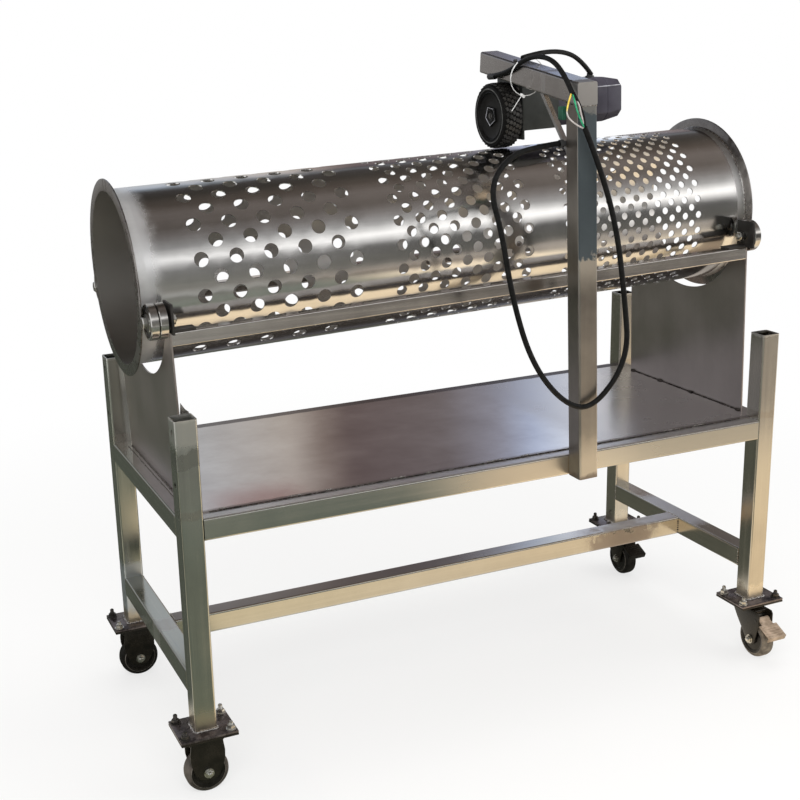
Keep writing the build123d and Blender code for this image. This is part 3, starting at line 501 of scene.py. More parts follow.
chrome = mottled(
    "bearing_chrome", (0.44, 0.42, 0.40), (0.70, 0.69, 0.67), 40, (0.08, 0.18), 1.0, 300, 0.04,
)
seal = mottled("bearing_seal", (0.012, 0.012, 0.012), (0.04, 0.038, 0.036), 80, (0.40, 0.55))
sleeve_steel = mottled("sleeve_steel", (0.16, 0.155, 0.15), (0.30, 0.29, 0.28), 60, (0.35, 0.5), 1.0)
black_steel = mottled(
    "black_bracket_steel", (0.010, 0.009, 0.008), (0.028, 0.025, 0.023), 30, (0.32, 0.5),
)
plate_steel = mottled(
    "motor_plate_paint", (0.014, 0.016, 0.014), (0.032, 0.034, 0.031), 22, (0.36, 0.5),
)
zinc = mottled("zinc_fastener_finish", (0.40, 0.39, 0.36), (0.74, 0.73, 0.70), 90, (0.20, 0.36), 1.0)
dark_zinc = mottled(
    "dark_fastener_finish", (0.05, 0.045, 0.042), (0.16, 0.15, 0.14), 90, (0.3, 0.5), 0.9,
)
burnt_bead = mottled(
    "burnt_weld_bead", (0.012, 0.011, 0.010), (0.14, 0.12, 0.11), 120, (0.3, 0.5), 0.7, 400, 0.2,
)
bead = mottled("weld_bead", (0.34, 0.31, 0.29), (0.90, 0.88, 0.86), 150, (0.18, 0.36), 1.0, 400, 0.2)
dark_bead = mottled(
    "dark_weld_bead", (0.16, 0.14, 0.13), (0.52, 0.49, 0.46), 150, (0.25, 0.4), 1.0, 400, 0.2,
)
motor_paint = mottled(
    "motor_violet_paint", (0.034, 0.031, 0.042), (0.056, 0.052, 0.068), 25, (0.34, 0.48),
)
# Pale grey: worn paint on the hub plate's edge, and a painted highlight along the motor's joint line.
worn_paint_and_highlight = mottled("paint_wear_and_highlight_edge", (0.24, 0.24, 0.26), (0.50, 0.50, 0.54), 70, (0.30, 0.45))
tyre_rubber = mottled(
    "drive_tyre_rubber", (0.002, 0.002, 0.002), (0.008, 0.0075, 0.007), 40, (0.55, 0.8), gloss=0.2,
)
# The tread blocks are lighter than the carcass between them: wear, and a painted highlight on the block
# faces.
tread_wear_and_highlight = mottled(
    "tread_rubber_wear_and_highlight", (0.007, 0.007, 0.007), (0.045, 0.043, 0.040), 90, (0.32, 0.5), gloss=0.4,
)
wall_line = mottled("tyre_wall_line", (0.03, 0.03, 0.03), (0.10, 0.10, 0.095), 120, (0.4, 0.6))
rim_plastic = mottled(
    "drive_rim_plastic", (0.002, 0.002, 0.002), (0.007, 0.0065, 0.006), 60, (0.30, 0.45), gloss=0.25,
)
caster_tread = mottled(
    "caster_tread_rubber", (0.004, 0.0035, 0.003), (0.016, 0.014, 0.011), 70, (0.4, 0.6), gloss=0.25,
)
caster_core = mottled(
    "caster_wheel_core", (0.003, 0.0026, 0.002), (0.012, 0.010, 0.008), 80, (0.22, 0.36), gloss=0.3,
)
caster_black = mottled(
    "caster_black_steel", (0.004, 0.0032, 0.002), (0.018, 0.014, 0.009), 30, (0.18, 0.34), gloss=0.4,
)
foot_steel = mottled("foot_plate_steel", (0.05, 0.04, 0.042), (0.30, 0.26, 0.26), 45, (0.2, 0.4), 0.85)
dusty_tread = mottled(
    "dusty_caster_tread", (0.04, 0.033, 0.025), (0.26, 0.215, 0.16), 85, (0.6, 0.85), 0.0, 220, 0.6,
)
brown_tread = mottled(
    "brown_caster_tread", (0.008, 0.007, 0.005), (0.12, 0.10, 0.085), 30, (0.35, 0.6), 0.0, 200, 0.2,
)
tan_pedal = mottled("pedal_tan_finish", (0.24, 0.175, 0.12), (0.58, 0.45, 0.34), 60, (0.35, 0.55), 0.3)
worn_ring = mottled("caster_worn_ring", (0.05, 0.045, 0.038), (0.16, 0.14, 0.12), 80, (0.25, 0.4))
cable_rubber = mottled(
    "cable_sheath", (0.003, 0.003, 0.003), (0.010, 0.010, 0.010), 120, (0.40, 0.55), gloss=0.2,
)
clip_plastic = mottled("clip_nylon", (0.016, 0.016, 0.016), (0.04, 0.04, 0.04), 100, (0.35, 0.5))
white_nylon = mottled("white_tie_nylon", (0.60, 0.60, 0.59), (0.80, 0.80, 0.79), 120, (0.35, 0.5))
terminal_plastic = mottled(
    "terminal_green_plastic", (0.008, 0.05, 0.03), (0.02, 0.10, 0.06), 90, (0.35, 0.5),
)
print("finishes so far:", len(finish_names))

# %% [markdown]
# ## The three coloured cores
# Inside the sheath are three insulated cores. Each one is a plastic that is a little dirty. The
# first is yellow at its upper end only and bare and pale below, the second is green, and the third
# is pale. A thicker black strand runs beside them.

# %% Cores and cable colours


def core(name, low, high):
    """Thin coloured insulation."""
    return mottled(name, low, high, 200, (0.35, 0.5), 0.0, 500, 0.03)


yellow = Finish("yellow_core").set(Metallic=0.0)
dirt = yellow.noise(200, 5.0)
pale_end = yellow.remap(yellow.axis("Z"), 1.166, 1.158)
insulated = yellow.ramp(dirt, [(0.3, (0.52, 0.36, 0.04)), (0.7, (0.76, 0.60, 0.12))])
bare = yellow.ramp(dirt, [(0.3, (0.30, 0.27, 0.25)), (0.7, (0.56, 0.52, 0.50))])
yellow.colour(yellow.mix(pale_end, insulated, bare))
yellow.roughness(yellow.remap(dirt, 0.3, 0.7, 0.35, 0.5))
yellow_core = yellow.material
green_core = core("green_core", (0.01, 0.20, 0.09), (0.04, 0.40, 0.19))
brown_core = core("brown_core", (0.34, 0.30, 0.28), (0.58, 0.54, 0.52))
for key, finish in (
    ("supply", cable_rubber), ("arm", cable_rubber), ("motor", cable_rubber),
    ("left_core", yellow_core), ("middle_core", green_core), ("right_core", brown_core),
    ("strand", cable_rubber),
):
    cables[key].data.materials.append(finish)
print("cable finishes:", len(cables))

# %% [markdown]
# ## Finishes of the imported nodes
# The straight tubes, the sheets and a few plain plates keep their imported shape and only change
# their finish. Nodes that are modelled again further down are not in this table.

# %% Give the kept nodes their finish
NODE_FINISHES = {
    "front_table_rail back_table_rail": tube_x,
    "front_roller_rail back_roller_rail": roller_rail,
    "long_stretcher": stretcher_tube,
    "left_table_rail right_table_rail": tube_y,
    "left_cross_bar right_cross_bar": cross_tube,
    "left_front_post left_back_post right_front_post right_back_post": post_tube,
    "drive_post": drive_tube,
    "drive_arm": arm_tube,
    "knee_brace": brace_steel,
    "tray_sheet": sheet,
    "left_end_panel right_end_panel": panel,
}
for names, finish in NODE_FINISHES.items():
    for name in names.split():
        materials = nodes[name].data.materials
        for index in range(len(materials)):
            materials[index] = finish
        if not materials:
            materials.append(finish)
kept = set(" ".join(NODE_FINISHES).split())
print("kept nodes:", len(kept))

# %% [markdown]
# ## Modelling helpers
# Pieces are made in a bmesh in millimetres of this machine. Round pieces start as a short profile
# of radius and height and are spun once round. Nuts are polygons drawn up, blocks are cubes with
# broken edges. A shape is made upright at the origin and then put in its place, in the mesh itself,
# because a finished object stays at the origin. Everything above the table leans with the drum and
# is placed through UPPER.

# %% Places
drum_axis = joints["drum_spin"]["axis"]
DRUM_LEAN = math.atan2(drum_axis[2], drum_axis[0])
DRUM_MIDDLE = (-0.008, TABLE_MIDDLE_Y * MM, 0.914)
UPPER = Matrix.Translation(DRUM_MIDDLE) @ Matrix.Rotation(-DRUM_LEAN, 4, "Y")
TABLE = Matrix.Translation((0, TABLE_MIDDLE_Y * MM, 0))
ALONG_X = Matrix.Rotation(math.radians(90), 4, "Y")
ALONG_Y = Matrix.Rotation(math.radians(-90), 4, "X")
FACING_LEFT = Matrix.Rotation(math.radians(-90), 4, "Y")
FACING_FRONT = Matrix.Rotation(math.radians(90), 4, "X")
UPSIDE_DOWN = Matrix.Rotation(math.pi, 4, "X")
HERE = Matrix.Identity(4)


def at(x, y, z):
    """A shift in millimetres."""
    return Matrix.Translation((x * MM, y * MM, z * MM))


print("drum leans", round(math.degrees(DRUM_LEAN), 2), "degrees")

# %% Turned shapes, nuts and blocks
SAME_PLACE = 1e-6
FLAT_ANGLE = math.radians(4)


def corners_of(geometry):
    """The corners among what an operator made."""
    return [item for item in geometry if isinstance(item, bmesh.types.BMVert)]


def put(bm, before, place):
    """Moves what was added to a bmesh since a set of its corners was taken."""
    added = [vert for vert in bm.verts if vert not in before]
    bmesh.ops.transform(bm, matrix=place, verts=added)
    return added


def turned(bm, profile, place, steps=48):
    """A turned shape from (radius, height) pairs; one that starts and ends at radius 0 is solid."""
    before = set(bm.verts)
    corners = [bm.verts.new((radius * MM, 0, height * MM)) for radius, height in profile]
    edges = [bm.edges.new(pair) for pair in zip(corners, corners[1:])]
    if profile[0][0] > 0:
        edges.append(bm.edges.new((corners[-1], corners[0])))
    bmesh.ops.spin(
        bm, geom=corners + edges, cent=(0, 0, 0), axis=(0, 0, 1), angle=math.tau, steps=steps,
        use_merge=True,
    )
    added = [vert for vert in bm.verts if vert not in before]
    bmesh.ops.remove_doubles(bm, verts=added, dist=SAME_PLACE)
    return put(bm, before, place)


def broken(bm, edges, width, segments=1):
    """Breaks edges by a small bevel in millimetres."""
    bmesh.ops.bevel(
        bm, geom=edges, offset=width * MM, offset_type="OFFSET", segments=segments, profile=0.5,
        affect="EDGES", clamp_overlap=True, material=-1,
    )


def drawn_up(bm, face, height):
    """Extrudes a face along Z into a closed block and hands back its new top face."""
    grown = bmesh.ops.extrude_face_region(bm, geom=[face])["geom"]
    bmesh.ops.translate(bm, vec=(0, 0, height * MM), verts=corners_of(grown))
    return next(item for item in grown if isinstance(item, bmesh.types.BMFace))


def nut(bm, flats, low, high, place, sides=6, chamfer=0.8):
    """A nut or bolt head with a broken top edge."""
    before = set(bm.verts)
    radius = flats / 2 / math.cos(math.pi / sides)
    made = bmesh.ops.create_circle(
        bm, cap_ends=True, segments=sides, radius=radius * MM, matrix=at(0, 0, low),
    )["verts"]
    top = drawn_up(bm, made[0].link_faces[0], high - low)
    broken(bm, list(top.edges), chamfer)
    return put(bm, before, place)


def block(bm, low, high, place, edge=0.0, segments=2):
    """A block between two corners, with rounded edges."""
    before = set(bm.verts)
    middle = [(a + b) / 2 for a, b in zip(low, high)]
    size = [(b - a) * MM for a, b in zip(low, high)]
    shape = at(*middle) @ Matrix.Diagonal((*size, 1.0))
    made = bmesh.ops.create_cube(bm, size=1.0, matrix=shape)["verts"]
    if edge:
        broken(bm, list({e for vert in made for e in vert.link_edges}), edge, segments)
    return put(bm, before, place)


print("shapes: turned, nut, block")

# %% Weld beads, softened copies and finished pieces


def absorb(bm, part):
    """Moves a small finished bmesh into a larger one, which is faster than growing the large one."""
    mesh = bpy.data.meshes.new("part")
    part.to_mesh(mesh)
    part.free()
    bm.from_mesh(mesh)
    bpy.data.meshes.remove(mesh)


def weld(bm, start, end, size, pitch, place, seed, flat=0.7):
    """A row of small overlapping lumps from one point to another."""
    chance = random.Random(seed)
    run = Vector(end) - Vector(start)
    count = max(2, round(run.length / pitch))
    row = bmesh.new()
    for index in range(count):
        point = Vector(start) + run * ((index + 0.5 + chance.uniform(-0.2, 0.2)) / count)
        radius = size * chance.uniform(0.7, 1.15)
        shape = Matrix.Diagonal((radius, radius, radius * flat, 1.0))
        turn = Matrix.Rotation(chance.uniform(0, math.tau), 4, "Z")
        lump = place @ at(*point) @ turn @ shape
        bmesh.ops.create_uvsphere(row, u_segments=7, v_segments=4, radius=MM, matrix=lump)
    absorb(bm, row)


def softened(node, width, segments=2, limit=25):
    """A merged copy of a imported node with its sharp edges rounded."""
    bm = bmesh.new()
    bm.from_mesh(nodes[node].data)
    bmesh.ops.remove_doubles(bm, verts=bm.verts, dist=SAME_PLACE)
    bmesh.ops.dissolve_limit(bm, angle_limit=FLAT_ANGLE, verts=bm.verts, edges=bm.edges)
    sharp = [
        e for e in bm.edges
        if len(e.link_faces) == 2 and e.calc_face_angle() > math.radians(limit)
    ]
    broken(bm, sharp, width, segments)
    return bm


def piece(bm, name, body, finishes, replaces=(), place=None, slot=None, smooth=35):
    """Ends a bmesh as a named object in its place, with its finishes and body; its slot is not used."""
    if place is not None:
        bmesh.ops.transform(bm, matrix=place, verts=bm.verts)
    bmesh.ops.recalc_face_normals(bm, faces=bm.faces)
    mesh = bpy.data.meshes.new(name)
    bm.to_mesh(mesh)
    bm.free()
    mesh.shade_smooth()
    mesh.set_sharp_from_angle(angle=math.radians(smooth))
    for finish in finishes:
        mesh.materials.append(finish)
    made = bpy.data.objects.new(name, mesh)
    scene.collection.objects.link(made)
    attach(made, body)
    if replaces:
        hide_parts(*replaces)
    return made


print("helpers for welds, soft edges and finished pieces ready")

# %% [markdown]
# ## The perforated drum
# The shell is one sheet with three zones of staggered holes, large at the low end and small at the
# high end. Cutting a thousand holes with booleans would be slow and untidy. A punched sheet is a
# pattern, so one cell is made first: a rectangle with a round hole, as wide as the pitch and half
# as high. Copies of it fill a row, rows are shifted by half a pitch in turn, and the flat sheet is
# then rolled round the axis.

# %% One punched cell and a plain one
DRUM_RADIUS = 156.0
DRUM_SHEET = 2.0
SHELL_LEFT = -616.0
SHELL_RIGHT = 601.0


def punched_cell(bm, centre, pitch, row, hole, across, up):
    """A rectangle of pitch by row with a round hole: a grid whose border is drawn in to a circle."""
    place = Matrix.Translation((*centre, 0)) @ Matrix.Diagonal((pitch / 2, row / 2, 1, 1))
    made = bmesh.ops.create_grid(bm, x_segments=across, y_segments=up, size=1.0, matrix=place)["verts"]
    inside = [v for v in made if not v.is_boundary]
    border = [v for v in made if v.is_boundary]
    bmesh.ops.delete(bm, geom=inside, context="VERTS")
    loose = {f for v in border for f in v.link_faces}
    bmesh.ops.delete(bm, geom=list(loose), context="FACES_ONLY")
    rim_edges = list({e for v in border for e in v.link_edges})
    drawn = bmesh.ops.extrude_edge_only(bm, edges=rim_edges)["geom"]
    rim = corners_of(drawn)
    rim.sort(key=lambda v: math.atan2(v.co.y - centre[1], v.co.x - centre[0]) % math.tau)
    for index, vert in enumerate(rim):
        turn = math.tau * index / len(rim)
        vert.co = (centre[0] + hole / 2 * math.cos(turn), centre[1] + hole / 2 * math.sin(turn), 0)


def plain_cell(bm, left, right, low, high, across, up):
    """A plain rectangle of the sheet, divided to match its neighbours."""
    middle = ((left + right) / 2, (low + high) / 2, 0)
    place = Matrix.Translation(middle) @ Matrix.Diagonal(((right - left) / 2, (high - low) / 2, 1, 1))
    bmesh.ops.create_grid(bm, x_segments=across, y_segments=up, size=1.0, matrix=place)


# %% A zone of staggered rows
SHEET_JOIN = 0.02
SHORTEST_PLAIN = 1.0


def punched_zone(zone):
    """Rows of cells and a plain seam strip, flat at first: x along the drum, y round it, in mm."""
    bm = bmesh.new()
    pitch, across, up = zone["pitch"], zone["across"], zone["up"]
    arc = math.radians(zone["step"]) * DRUM_RADIUS
    for row in range(zone["first_row"], zone["first_row"] + zone["rows"]):
        middle = math.radians(zone["level"]) * DRUM_RADIUS + row * arc
        start, count = zone["odd"] if row % 2 else zone["even"]
        low, high = middle - arc / 2, middle + arc / 2
        if start - pitch / 2 > zone["left"] + SHORTEST_PLAIN:
            plain_cell(bm, zone["left"], start - pitch / 2, low, high, across // 2, up)
        for column in range(count):
            punched_cell(bm, (start + column * pitch, middle), pitch, arc, zone["hole"], across, up)
        end = start + (count - 0.5) * pitch
        if end < zone["right"] - SHORTEST_PLAIN:
            plain_cell(bm, end, zone["right"], low, high, across // 2, up)
    top = math.radians(zone["level"]) * DRUM_RADIUS + (zone["first_row"] + zone["rows"] - 0.5) * arc
    bottom = top - zone["rows"] * arc + math.tau * DRUM_RADIUS
    plain_cell(bm, zone["left"], zone["right"], top, bottom, zone["seam_across"], zone["seam_up"])
    bmesh.ops.remove_doubles(bm, verts=bm.verts, dist=SHEET_JOIN)
    for vert in bm.verts:
        turn = vert.co.y / DRUM_RADIUS
        vert.co = (vert.co.x, -DRUM_RADIUS * math.cos(turn), DRUM_RADIUS * math.sin(turn))
    bmesh.ops.remove_doubles(bm, verts=bm.verts, dist=SHEET_JOIN)
    mesh = bpy.data.meshes.new("zone")
    bm.to_mesh(mesh)
    bm.free()
    return mesh


ZONES = {
    "large": {
        "hole": 26.0, "pitch": 63.0, "step": 11.6, "level": 3.7, "rows": 30, "first_row": -5,
        "even": (-487.5, 5), "odd": (-519.0, 5), "left": -550.5, "right": -204.0,
        "across": 8, "up": 4, "seam_across": 44, "seam_up": 4,
    },
    "medium": {
        "hole": 20.4, "pitch": 43.7, "step": 8.1, "level": 0.0, "rows": 44, "first_row": -7,
        "even": (-122.65, 6), "odd": (-144.5, 7), "left": -166.35, "right": 139.55,
        "across": 6, "up": 2, "seam_across": 42, "seam_up": 2,
    },
    "small": {
        "hole": 13.8, "pitch": 31.6, "step": 5.83, "level": 1.6, "rows": 61, "first_row": -10,
        "even": (220.8, 10), "odd": (205.0, 10), "left": 189.2, "right": 521.0,
        "across": 6, "up": 2, "seam_across": 63, "seam_up": 2,
    },
}
shell = bmesh.new()
for zone in ZONES.values():
    flat = punched_zone(zone)
    shell.from_mesh(flat)
    bpy.data.meshes.remove(flat)
print("punched sheet:", len(shell.faces), "faces")

# %% [markdown]
# The zones are joined by plain bands. The open rings of two neighbouring zones are bridged, and the
# two outermost rings are drawn out to the ends of the shell. Only then does the sheet get its
# thickness.

# %% Join the zones and give the sheet its thickness


def ring_at(bm, x):
    """The open edges that run round the drum at one place along it."""
    return [
        e for e in bm.edges
        if e.is_boundary and all(abs(v.co.x - x) < 0.05 for v in e.verts)
    ]


for left_zone, right_zone in (("large", "medium"), ("medium", "small")):
    ends = ring_at(shell, ZONES[left_zone]["right"]) + ring_at(shell, ZONES[right_zone]["left"])
    bmesh.ops.bridge_loops(shell, edges=ends)
for x, target in ((ZONES["large"]["left"], SHELL_LEFT), (ZONES["small"]["right"], SHELL_RIGHT)):
    drawn = bmesh.ops.extrude_edge_only(shell, edges=ring_at(shell, x))["geom"]
    bmesh.ops.translate(shell, vec=(target - x, 0, 0), verts=corners_of(drawn))
bmesh.ops.recalc_face_normals(shell, faces=shell.faces)
sample = max(shell.faces, key=lambda f: f.calc_area())
middle = sample.calc_center_median()
if sample.normal.dot(Vector((0, middle.y, middle.z))) < 0:
    bmesh.ops.reverse_faces(shell, faces=shell.faces)
bmesh.ops.solidify(shell, geom=shell.faces, thickness=DRUM_SHEET)
bmesh.ops.scale(shell, vec=(MM, MM, MM), verts=shell.verts)
radii = [math.hypot(v.co.y, v.co.z) / MM for v in shell.verts]
print("shell radius from", round(min(radii), 2), "to", round(max(radii), 2), "mm")
print("shell:", len(shell.faces), "faces")
shell.normal_update()
for face in shell.faces:
    middle = face.calc_center_median()
    if face.normal.dot(Vector((0, middle.y, middle.z))) < 0:
        face.material_index = 1
piece(
    shell, "drum_punched_shell", "drum", [drum_steel, inner_steel], ["drum_shell"], UPPER,
    "stainless_drum", 40,
)

# %% [markdown]
# ## Drum end rings
# Each end of the shell has a rolled collar with a flat flange welded on it. A flange with a small
# weld fillet is a turned shape, so one profile is spun. The seams are thin uneven beads: a small
# ring is spun for each, and its points are then shaken a little, which looks like a hand weld.

# %% Flanged rings and their seams
FLANGE_RADIUS = 175.0
BORE_RADIUS = 154.0
COLLAR_TOP = 157.0
COLLAR_LENGTH = 22.0
LEFT_TIP = -638.0
RIGHT_TIP = 623.0


def end_ring(name, node, tip, inward):
    """A flanged collar, spun from its profile, with its inside in the darker finish."""
    profile = [
        (BORE_RADIUS, 0), (FLANGE_RADIUS - 1.0, 0), (FLANGE_RADIUS, 0.7), (FLANGE_RADIUS, 2.3),
        (FLANGE_RADIUS - 1.0, 3.0), (159.2, 3.0), (157.4, 3.8), (156.4, 5.4), (DRUM_RADIUS, 7.5),
        (DRUM_RADIUS, COLLAR_LENGTH), (BORE_RADIUS, COLLAR_LENGTH),
    ]
    bm = bmesh.new()
    turned(bm, [(radius, tip + inward * reach) for radius, reach in profile], ALONG_X, 160)
    for face in bm.faces:
        middle = face.calc_center_median()
        reach = math.hypot(middle.y, middle.z) / MM
        if reach < BORE_RADIUS + 0.2:
            face.material_index = 1
        elif reach < COLLAR_TOP:
            face.material_index = 2
    piece(bm, name, "drum", [ring_steel, inner_steel, collar_steel], [node], UPPER, "stainless_drum")


end_ring("left_flanged_ring", "left_drum_ring", LEFT_TIP, 1)
end_ring("right_flanged_ring", "right_drum_ring", RIGHT_TIP, -1)
seams = bmesh.new()
SEAMS = ((-633.4, 156.4, 2.2, 1.6), (618.4, 156.4, 2.2, 1.6))
for along, reach, half, lift in SEAMS:
    top = reach + lift
    outline = [
        (reach, along - half), (top, along - half / 2), (top, along + half / 2), (reach, along + half),
    ]
    turned(seams, outline, ALONG_X, 300)
chance = random.Random(7)
for vert in seams.verts:
    swell = 1.0 + chance.uniform(-0.0012, 0.0012)
    vert.co = Vector((vert.co.x + chance.uniform(-0.3, 0.3) * MM, vert.co.y * swell, vert.co.z * swell))
piece(seams, "drum_seam_beads", "drum", [bead], (), UPPER, "stainless_drum", 60)
print("drum rings and", len(SEAMS), "seams")

# %% [markdown]
# ## Bearing rollers
# The drum rolls on ball bearings used as wheels: a hard chromed outer ring, a dark rubber seal that
# sits a little back, and an inner ring. All of that is one turned profile, and the seal's faces get
# the dark finish.

# %% Four sets of rollers
ROLLER_Y = 181.56
ROLLER_Z = -46.0
ROLLER_START = 600.0
ROLLER_PITCH = 16.0
ROLLER_COUNT = {"left": 2, "right": 1}
BEARING = [
    (15.05, 0.6), (18.6, 0.6), (19.2, 1.6), (25.6, 1.6), (26.2, 0.6), (29.6, 0.6), (31.0, 2.0),
    (31.0, 14.0), (29.6, 15.4), (26.2, 15.4), (25.6, 14.4), (19.2, 14.4), (18.6, 15.4),
    (15.05, 15.4),
]
SIDES = {"left": -1, "right": 1}
ROWS = {"front": -1, "back": 1}
CORNERS = [(side, row) for side in SIDES for row in ROWS]
SEAL_INNER = 19.3
SEAL_OUTER = 25.5


def roller_place(side, row):
    """A roller's axis, with heights that grow away from the middle of the drum."""
    outward = Matrix.Rotation(SIDES[side] * math.radians(90), 4, "Y")
    return at(0, ROWS[row] * ROLLER_Y, ROLLER_Z) @ outward


for side, row in CORNERS:
    bm = bmesh.new()
    for index in range(ROLLER_COUNT[side]):
        start = ROLLER_START + index * ROLLER_PITCH
        profile = [(radius, start + height) for radius, height in BEARING]
        turned(bm, profile, roller_place(side, row), 72)
    axis_point = Vector((0, ROWS[row] * ROLLER_Y, ROLLER_Z)) * MM
    for face in bm.faces:
        middle = face.calc_center_median() - axis_point
        if SEAL_INNER < math.hypot(middle.y, middle.z) / MM < SEAL_OUTER:
            face.material_index = 1
    name = side + "_" + row + "_roller"
    piece(bm, name + "_bearings", name, [chrome, seal], [name], UPPER, "bearing_steel")
print("rollers:", len(CORNERS))

# %% [markdown]
# ## Roller bolts, nuts and sleeves
# A long bolt goes through the roller's sleeve and the black bracket, with a nut and a bit of thread
# on the inner side. The thread is a saw-tooth profile, spun like the rest. A real helix would not
# be seen.

# %% Bolts with threads
BOLT_RADIUS = 6.0
BOLT_START = 592.0
BOLT_FLATS = 18.0


def thread(radius, low, high, pitch=1.6):
    """A threaded stud's outline from (0, low) up to a domed end at high."""
    outline = [(0.0, low), (radius, low)]
    height = low
    while height + pitch < high - 1.0:
        outline += [(radius, height + 0.3 * pitch), (radius * 0.9, height + 0.8 * pitch)]
        height += pitch
    return outline + [(radius * 0.9, high - 1.0), (radius * 0.6, high), (0.0, high)]


bolts, nuts, sleeves = bmesh.new(), bmesh.new(), bmesh.new()
for side, row in CORNERS:
    end = ROLLER_START + ROLLER_COUNT[side] * ROLLER_PITCH
    spot = roller_place(side, row)
    nut(bolts, BOLT_FLATS, end, end + 7.5, spot, chamfer=1.4)
    stem = [(0.0, BOLT_START), (BOLT_RADIUS, BOLT_START), (BOLT_RADIUS, end), (0.0, end)]
    turned(bolts, stem, spot, 24)
    flip = spot @ at(0, 0, BOLT_START) @ UPSIDE_DOWN
    turned(bolts, thread(BOLT_RADIUS, 0.0, 12.0), flip, 24)
    nut(nuts, BOLT_FLATS, 0.0, 10.0, spot @ at(0, 0, BOLT_START + 1.0) @ UPSIDE_DOWN, chamfer=1.2)
    sleeve = [(6.1, 597.0), (15.0, 597.0), (15.0, end - 0.2), (14.4, end), (6.1, end)]
    turned(sleeves, sleeve, spot, 40)
piece(bolts, "roller_bolts_threaded", "frame", [zinc], ["roller_bolts"], UPPER, "zinc_fastener")
piece(nuts, "roller_nuts_chamfered", "frame", [zinc], ["roller_nuts"], UPPER, "zinc_fastener")
piece(
    sleeves, "roller_sleeves_turned", "frame", [sleeve_steel], ["roller_sleeves"], UPPER,
    "zinc_fastener",
)
piece(
    softened("roller_brackets", 0.7), "roller_brackets_folded", "frame", [black_steel],
    ["roller_brackets"], None, "black_bracket",
)
print("bolt sets:", len(CORNERS))

# %% [markdown]
# ## The rubber drive wheel
# The drum is turned by friction from a small tyre with slanted blocks. The carcass is turned with a
# raised ring on its wall, and the blocks are short boxes set round it in rows that lean to
# alternate sides.

# %% Tyre with slanted blocks
WHEEL_Z = 219.4
WHEEL_AXIS = at(0, 0, WHEEL_Z) @ ALONG_X
TREAD_ROWS = (
    (131.6, 24, 5.4, 0.5), (138.4, -26, 6.4, 1.3), (145.5, 26, 6.4, 1.3), (152.6, -26, 6.4, 1.3),
    (159.4, 24, 5.4, 0.5),
)
TREAD_COUNT = 36
TREAD_REACH = 61.0
TREAD_HALF = 3.4
TREAD_ROOT = -1.8
TREAD_STAGGER = 20
WALL_LINE_INNER = 50.0
WALL_LINE_OUTER = 52.2
TYRE_FRONT_X = 0.13

tyre = bmesh.new()
wall = [
    (46.0, 126.0), (49.8, 124.8), (50.6, 124.0), (51.6, 124.0), (52.4, 124.8), (57.0, 125.2),
    (59.6, 128.0), (60.4, 131.0), (60.4, 160.0), (59.6, 163.0), (57.0, 165.8), (50.0, 166.6),
    (46.0, 165.0),
]
turned(tyre, wall, WHEEL_AXIS, 96)
for face in tyre.faces:
    middle = face.calc_center_median()
    reach = math.hypot(middle.y, middle.z - WHEEL_Z * MM) / MM
    if middle.x < TYRE_FRONT_X and WALL_LINE_INNER < reach < WALL_LINE_OUTER:
        face.material_index = 1
for along, slant, long, lift in TREAD_ROWS:
    row = bmesh.new()
    for index in range(TREAD_COUNT):
        turn = Matrix.Rotation(math.tau * (index + along / TREAD_STAGGER) / TREAD_COUNT, 4, "X")
        lean = Matrix.Rotation(math.radians(slant), 4, "Z")
        spot = at(0, 0, WHEEL_Z) @ turn @ at(along, 0, TREAD_REACH) @ lean
        block(row, (-long / 2, -TREAD_HALF, TREAD_ROOT), (long / 2, TREAD_HALF, lift), spot)
    for face in row.faces:
        face.material_index = 2
    absorb(tyre, row)
piece(
    tyre, "drive_tyre_lugged", "drive_wheel", [tyre_rubber, wall_line, tread_wear_and_highlight], ["drive_tyre"],
    UPPER, "drive_rubber",
)
print("tread blocks:", len(TREAD_ROWS) * TREAD_COUNT)

# %% [markdown]
# The wheel's disc is dished and dark, with a five-sided hub plate in its middle. The plate's broken
# edge is worn bright. The shaft is turned, with a screw in its end.

# %% Rim, hub plate and shaft
rim = bmesh.new()
dish = [
    (46.0, 126.2), (44.6, 125.4), (43.4, 126.4), (42.4, 128.6), (38.0, 129.8), (24.0, 130.4),
    (16.0, 130.0), (6.02, 130.0), (6.02, 163.0), (16.0, 163.0), (17.0, 143.0), (40.0, 141.2),
    (42.0, 143.0), (42.0, 164.8), (46.0, 164.8),
]
turned(rim, dish, WHEEL_AXIS, 80)
piece(rim, "drive_rim_dished", "drive_wheel", [rim_plastic], ["drive_rim"], UPPER, "rim_plastic")

hub = bmesh.new()
hub_spot = at(130.2, 0, WHEEL_Z) @ FACING_LEFT @ Matrix.Rotation(0.2, 4, "Z")
nut(hub, 34.0, 0.0, 3.4, hub_spot, 5, 1.5)
hub.normal_update()
front = [face for face in hub.faces if face.normal.x < -0.95]
for face in bmesh.ops.inset_individual(hub, faces=front, thickness=1.6 * MM, depth=-0.5 * MM)["faces"]:
    face.material_index = 1
ring = [(9.6, 126.9), (10.8, 126.2), (12.0, 126.9)]
turned(hub, ring, WHEEL_AXIS, 40)
piece(
    hub, "hub_plate_five_sided", "drive_wheel", [rim_plastic, worn_paint_and_highlight], ["hub_ring"], UPPER,
    "bearing_steel",
)

shaft = bmesh.new()
turned(shaft, [(0, 126.2), (5.2, 126.2), (6.0, 127.0), (6.0, 196.0), (0, 196.0)], WHEEL_AXIS, 32)
nut(shaft, 7.0, 0.0, 1.2, at(126.2, 0, WHEEL_Z) @ FACING_LEFT, chamfer=0.4)
piece(
    shaft, "output_shaft_turned", "drive_wheel", [sleeve_steel], ["output_shaft"], UPPER,
    "bearing_steel",
)
print("drive wheel dressed")

